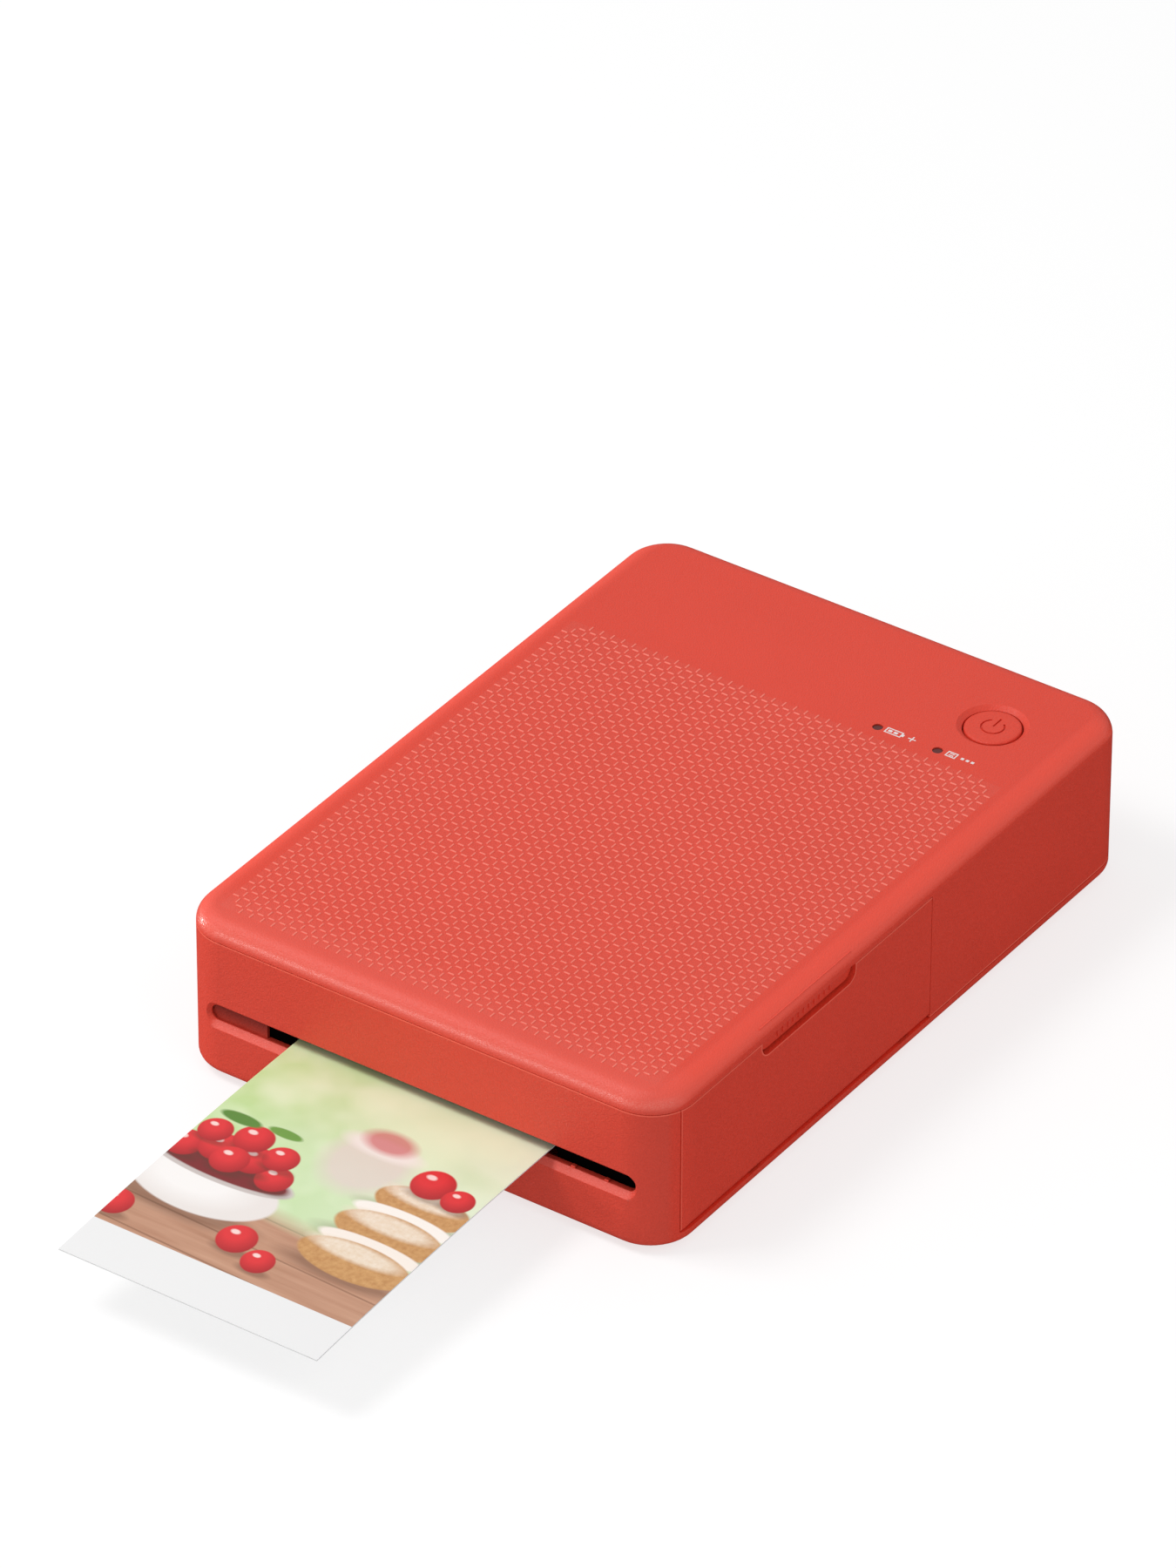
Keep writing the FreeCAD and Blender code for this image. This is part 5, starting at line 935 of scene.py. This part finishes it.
class PRINTER_OT_relief(bpy.types.Operator):
    """Raise the woven field of short dashes on the lid"""

    bl_idname = "printer.relief"
    bl_label = "Lid relief"

    def dashes(self, name, first, count, lengths, height, pitch):
        """One sloped dash, repeated in rows and columns from the first one's middle."""
        sink = 0.02
        slope = 0.26
        sides = [(middle - length / 2, middle + length / 2) for middle, length in zip(first, lengths)]
        dash = block(name, *sides, (TOP - sink, TOP + height))
        pick_faces(dash, lambda face: face.normal.z > 0.5)
        shares = (*((length - slope) / length for length in lengths), 1.0)
        top = tuple(Vector((*first, TOP + height)) * MM)
        bpy.ops.transform.resize(value=shares, center_override=top)
        end_edit()
        pick_faces(dash, lambda face: face.normal.z < -0.5)
        bpy.ops.mesh.delete(type="ONLY_FACE")
        end_edit()
        for axis, number in enumerate(count):
            row = dash.modifiers.new("row", "ARRAY")
            row.count = number
            row.use_relative_offset = False
            row.use_constant_offset = True
            step = [0.0, 0.0, 0.0]
            step[axis] = pitch * MM
            row.constant_offset_displace = step
        apply_all(dash)

        def in_corner(face):
            """Whether a face is of the outermost dash both along X and along Y."""
            for axis, number in enumerate(count):
                dashes_in = (face.center[axis] / MM - first[axis]) / pitch
                if 0.5 <= dashes_in <= number - 1.5:
                    return False
            return True

        pick_faces(dash, in_corner)
        bpy.ops.mesh.delete(type="FACE")
        end_edit()
        return dash

    def execute(self, context):
        sizes = context.scene.printer_sizes
        pitch = sizes.dash_pitch
        length, width = sizes.dash_length, sizes.dash_width
        fields = []
        for name, last_row, rows, columns, lengths in (
            ("across", CASE_BACK + 37.71, 46, 40, (length, width)),
            ("along", CASE_BACK + 38.86, 47, 39, (width, length)),
        ):
            first = (-(columns - 1) / 2 * pitch, last_row - (rows - 1) * pitch)
            fields.append(self.dashes(name, first, (columns, rows), lengths, sizes.dash_height, pitch))
        add_piece(join("lid_relief", fields), "printer", FINISHES["raised_plastic"])
        return {"FINISHED"}


class PRINTER_OT_button(bpy.types.Operator):
    """Turn the power button and engrave the usual power symbol in it"""

    bl_idname = "printer.button"
    bl_label = "Power button"

    def execute(self, context):
        sizes = context.scene.printer_sizes
        steps = context.scene.printer_steps
        low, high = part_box("power_button")
        x = (low.x + high.x) / 2 / MM
        y = (low.y + high.y) / 2 / MM
        top = high.z / MM
        base = low.z / MM
        flange = (high.x - low.x) / 2 / MM
        cap = flange - 0.8
        flange_top = base + 0.6
        well, well_top = 1.6, base + 0.2
        profile = [(well, well_top), (well, base), (flange, base), (flange, flange_top), (cap, flange_top)]
        # The cap's rounded edge: how far inside its side, and how far below its top.
        for inset, below in ((0.0, 0.42), (0.05, 0.25), (0.16, 0.12), (0.34, 0.04), (0.6, 0.01), (1.0, 0.0)):
            profile.append((cap - inset, top - below))
        button = turned("power_button_cap", (x, y), profile, steps.round_sides)
        groove, above = top - sizes.symbol_depth, top + 0.2
        gap = 36.0
        ring = swept_bar("ring", (x, y), sizes.symbol_radius, sizes.symbol_width, groove, above,
                         90.0 - gap, 360.0 - 2 * gap, 48)
        carve(button, ring)
        half = sizes.symbol_width / 2
        bar = block("bar", (x - half, x + half), (y + 0.1, y + sizes.symbol_radius + 0.75), (groove, above))
        carve(button, bar)
        smooth(button, 30.0)
        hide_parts("power_button")
        add_piece(button, "power_button", FINISHES["case_plastic"])
        return {"FINISHED"}


class PRINTER_OT_marks(bpy.types.Operator):
    """Print the two white signs beside the indicator lights: a battery and a sheet"""

    bl_idname = "printer.marks"
    bl_label = "Printed marks"

    def execute(self, context):
        ink = context.scene.printer_sizes.ink_height
        middle = 42.65 + CASE_BACK
        line = 0.24
        half = line / 2
        reach = 0.8

        def mark(left, right, low, high):
            """A printed bar, its heights counted from the middle of the signs."""
            return block("mark", (left, right), (middle + low, middle + high), (TOP - ink / 2, TOP + ink))

        def outline(left, right):
            """Four thin bars round a sign."""
            inner = reach - line
            return [
                mark(left, right, inner, reach), mark(left, right, -reach, -inner),
                mark(left, left + line, -inner, inner), mark(right - line, right, -inner, inner),
            ]

        battery = outline(19.0, 22.4) + [mark(22.4, 22.8, -0.35, 0.35)]
        battery += [mark(left, left + 0.8, -0.3, 0.3) for left in (19.55, 20.7)]
        plus = 24.5
        battery.append(mark(plus - reach, plus + reach, -half, half))
        battery += [mark(plus - half, plus + half, *rise) for rise in ((-reach, -half), (half, reach))]
        sheet = outline(31.8, 33.9)
        sheet += [mark(32.35, 33.35, low, low + line) for low in (0.15, -0.4)]
        sheet += [mark(34.8 + step, 35.4 + step, -0.3, 0.3) for step in (0.0, 1.05, 2.1)]
        add_piece(join("indicator_signs", battery + sheet), "printer", FINISHES["printed_ink"])
        return {"FINISHED"}


class PRINTER_OT_photo(bpy.types.Operator):
    """Lay the finished print: flat in the slot, then easing down towards its end"""

    bl_idname = "printer.photo"
    bl_label = "Print"

    def execute(self, context):
        steps = context.scene.printer_steps.bend_steps
        low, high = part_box("photo_print")
        rear = high.y
        wall = FRONT * MM
        out = wall - low.y
        drop = 2.4 * MM
        paper = 0.25
        bend = (out * out + drop * drop) / (2 * drop)
        bpy.ops.mesh.primitive_plane_add(size=1, location=(0.0, (rear + wall) / 2, high.z))
        sheet = context.object
        sheet.scale = (high.x - low.x, rear - wall, 1.0)
        settle(sheet, "finished_print")
        pick_faces(sheet, lambda face: False)
        bpy.ops.mesh.select_mode(type="EDGE")
        end_edit()
        for edge in sheet.data.edges:
            ends = [sheet.data.vertices[index].co.y for index in edge.vertices]
            edge.select = max(ends) < wall + 0.1 * MM
        bpy.ops.object.mode_set(mode="EDIT")
        slant = math.asin(out / bend)
        travelled = Vector()
        for step in range(1, steps + 1):
            angle = slant * step / steps
            place = Vector((0.0, -bend * math.sin(angle), bend * math.cos(angle) - bend))
            bpy.ops.mesh.extrude_edges_move(TRANSFORM_OT_translate={"value": tuple(place - travelled)})
            travelled = place
        end_edit()
        outward(sheet)
        if sum(face.normal.z for face in sheet.data.polygons) < 0:
            start_edit(sheet)
            bpy.ops.mesh.flip_normals()
            end_edit()
        coat(sheet, FINISHES["photo_paper"])
        sheet.data.materials.append(FINISHES["paper_back"].material)
        thickness = sheet.modifiers.new("thickness", "SOLIDIFY")
        thickness.thickness = paper * MM
        thickness.offset = -1.0
        thickness.material_offset = 1
        thickness.material_offset_rim = 1
        apply_all(sheet)
        smooth(sheet, 30.0)
        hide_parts("photo_print")
        add_piece(sheet, "photo_print", None)
        return {"FINISHED"}


class PRINTER_OT_slot(bpy.types.Operator):
    """Add the slot's two small guide bumps, and black sheets behind its free ends as painted shade"""

    bl_idname = "printer.slot"
    bl_label = "Slot bumps and shades"

    def execute(self, context):
        bumps = []
        for x in ((31.05, 31.95), (37.95, 38.85)):
            height = (SLOT_FLOOR - 0.1, SLOT_FLOOR + 0.38)
            bumps.append(block("bump", x, (FRONT + 1.1, FRONT + 2.0), height, 0.15, 3))
        pieces = join("slot_bumps", bumps)
        smooth(pieces, 60.0)
        add_piece(pieces, "printer", FINISHES["case_plastic"])
        shades = []
        for x in ((-34.5, -27.4), (27.4, 45.0)):
            height = (SLOT_FOOT, SLOT_FOOT + 6.8)
            shades.append(block("shade", x, (FRONT + 2.3, FRONT + 2.6), height, 0.08))
        add_piece(join("slot_shade", shades), "printer", FINISHES["slot_painted_shade"])
        return {"FINISHED"}


class PRINTER_OT_grip(bpy.types.Operator):
    """Mould the row of small ribs behind the door's finger notch"""

    bl_idname = "printer.grip"
    bl_label = "Notch ribs"

    def execute(self, context):
        wall = SIDE - NOTCH_SETBACK
        first = CASE_BACK - 38.0
        width, pitch, count = 0.8, 1.6, 11
        rib = block("rib", (wall - 0.1, wall + 0.22), (first, first + width), (27.4, 28.7), 0.12)
        ribs = [rib] + [copy_of(rib, (0.0, pitch * index, 0.0)) for index in range(1, count)]
        pieces = join("notch_ribs", ribs)
        smooth(pieces, 60.0)
        add_piece(pieces, "printer", FINISHES["case_plastic"])
        return {"FINISHED"}


OPERATORS = (
    PRINTER_OT_stage, PRINTER_OT_finishes, PRINTER_OT_relief, PRINTER_OT_button, PRINTER_OT_marks,
    PRINTER_OT_photo, PRINTER_OT_slot, PRINTER_OT_grip,
)
GROUPS = {
    "printer_sizes": PrinterSizes,
    "printer_colours": PrinterColours,
    "printer_stage": PrinterStage,
    "printer_steps": PrinterSteps,
}


class PRINTER_PT_panel(bpy.types.Panel):
    """Lists the printer's steps and their settings"""

    bl_idname = "PRINTER_PT_panel"
    bl_label = "Photo printer"
    bl_space_type = "VIEW_3D"
    bl_region_type = "UI"
    bl_category = "Printer"

    def draw(self, context):
        for operator in OPERATORS:
            self.layout.operator(operator.bl_idname, text=operator.bl_label)
        for name, group in GROUPS.items():
            owner = getattr(context.scene, name)
            box = self.layout.box()
            for prop in group.__annotations__:
                box.prop(owner, prop)


def register():
    for name, group in GROUPS.items():
        bpy.utils.register_class(group)
        setattr(bpy.types.Scene, name, PointerProperty(type=group))
    for operator in OPERATORS:
        bpy.utils.register_class(operator)
    bpy.utils.register_class(PRINTER_PT_panel)


def unregister():
    bpy.utils.unregister_class(PRINTER_PT_panel)
    for operator in reversed(OPERATORS):
        bpy.utils.unregister_class(operator)
    for name, group in reversed(GROUPS.items()):
        delattr(bpy.types.Scene, name)
        bpy.utils.unregister_class(group)


def main():
    register()
    for operator in OPERATORS:
        family, step = operator.bl_idname.split(".")
        getattr(getattr(bpy.ops, family), step)()


if __name__ == "__main__":
    main()
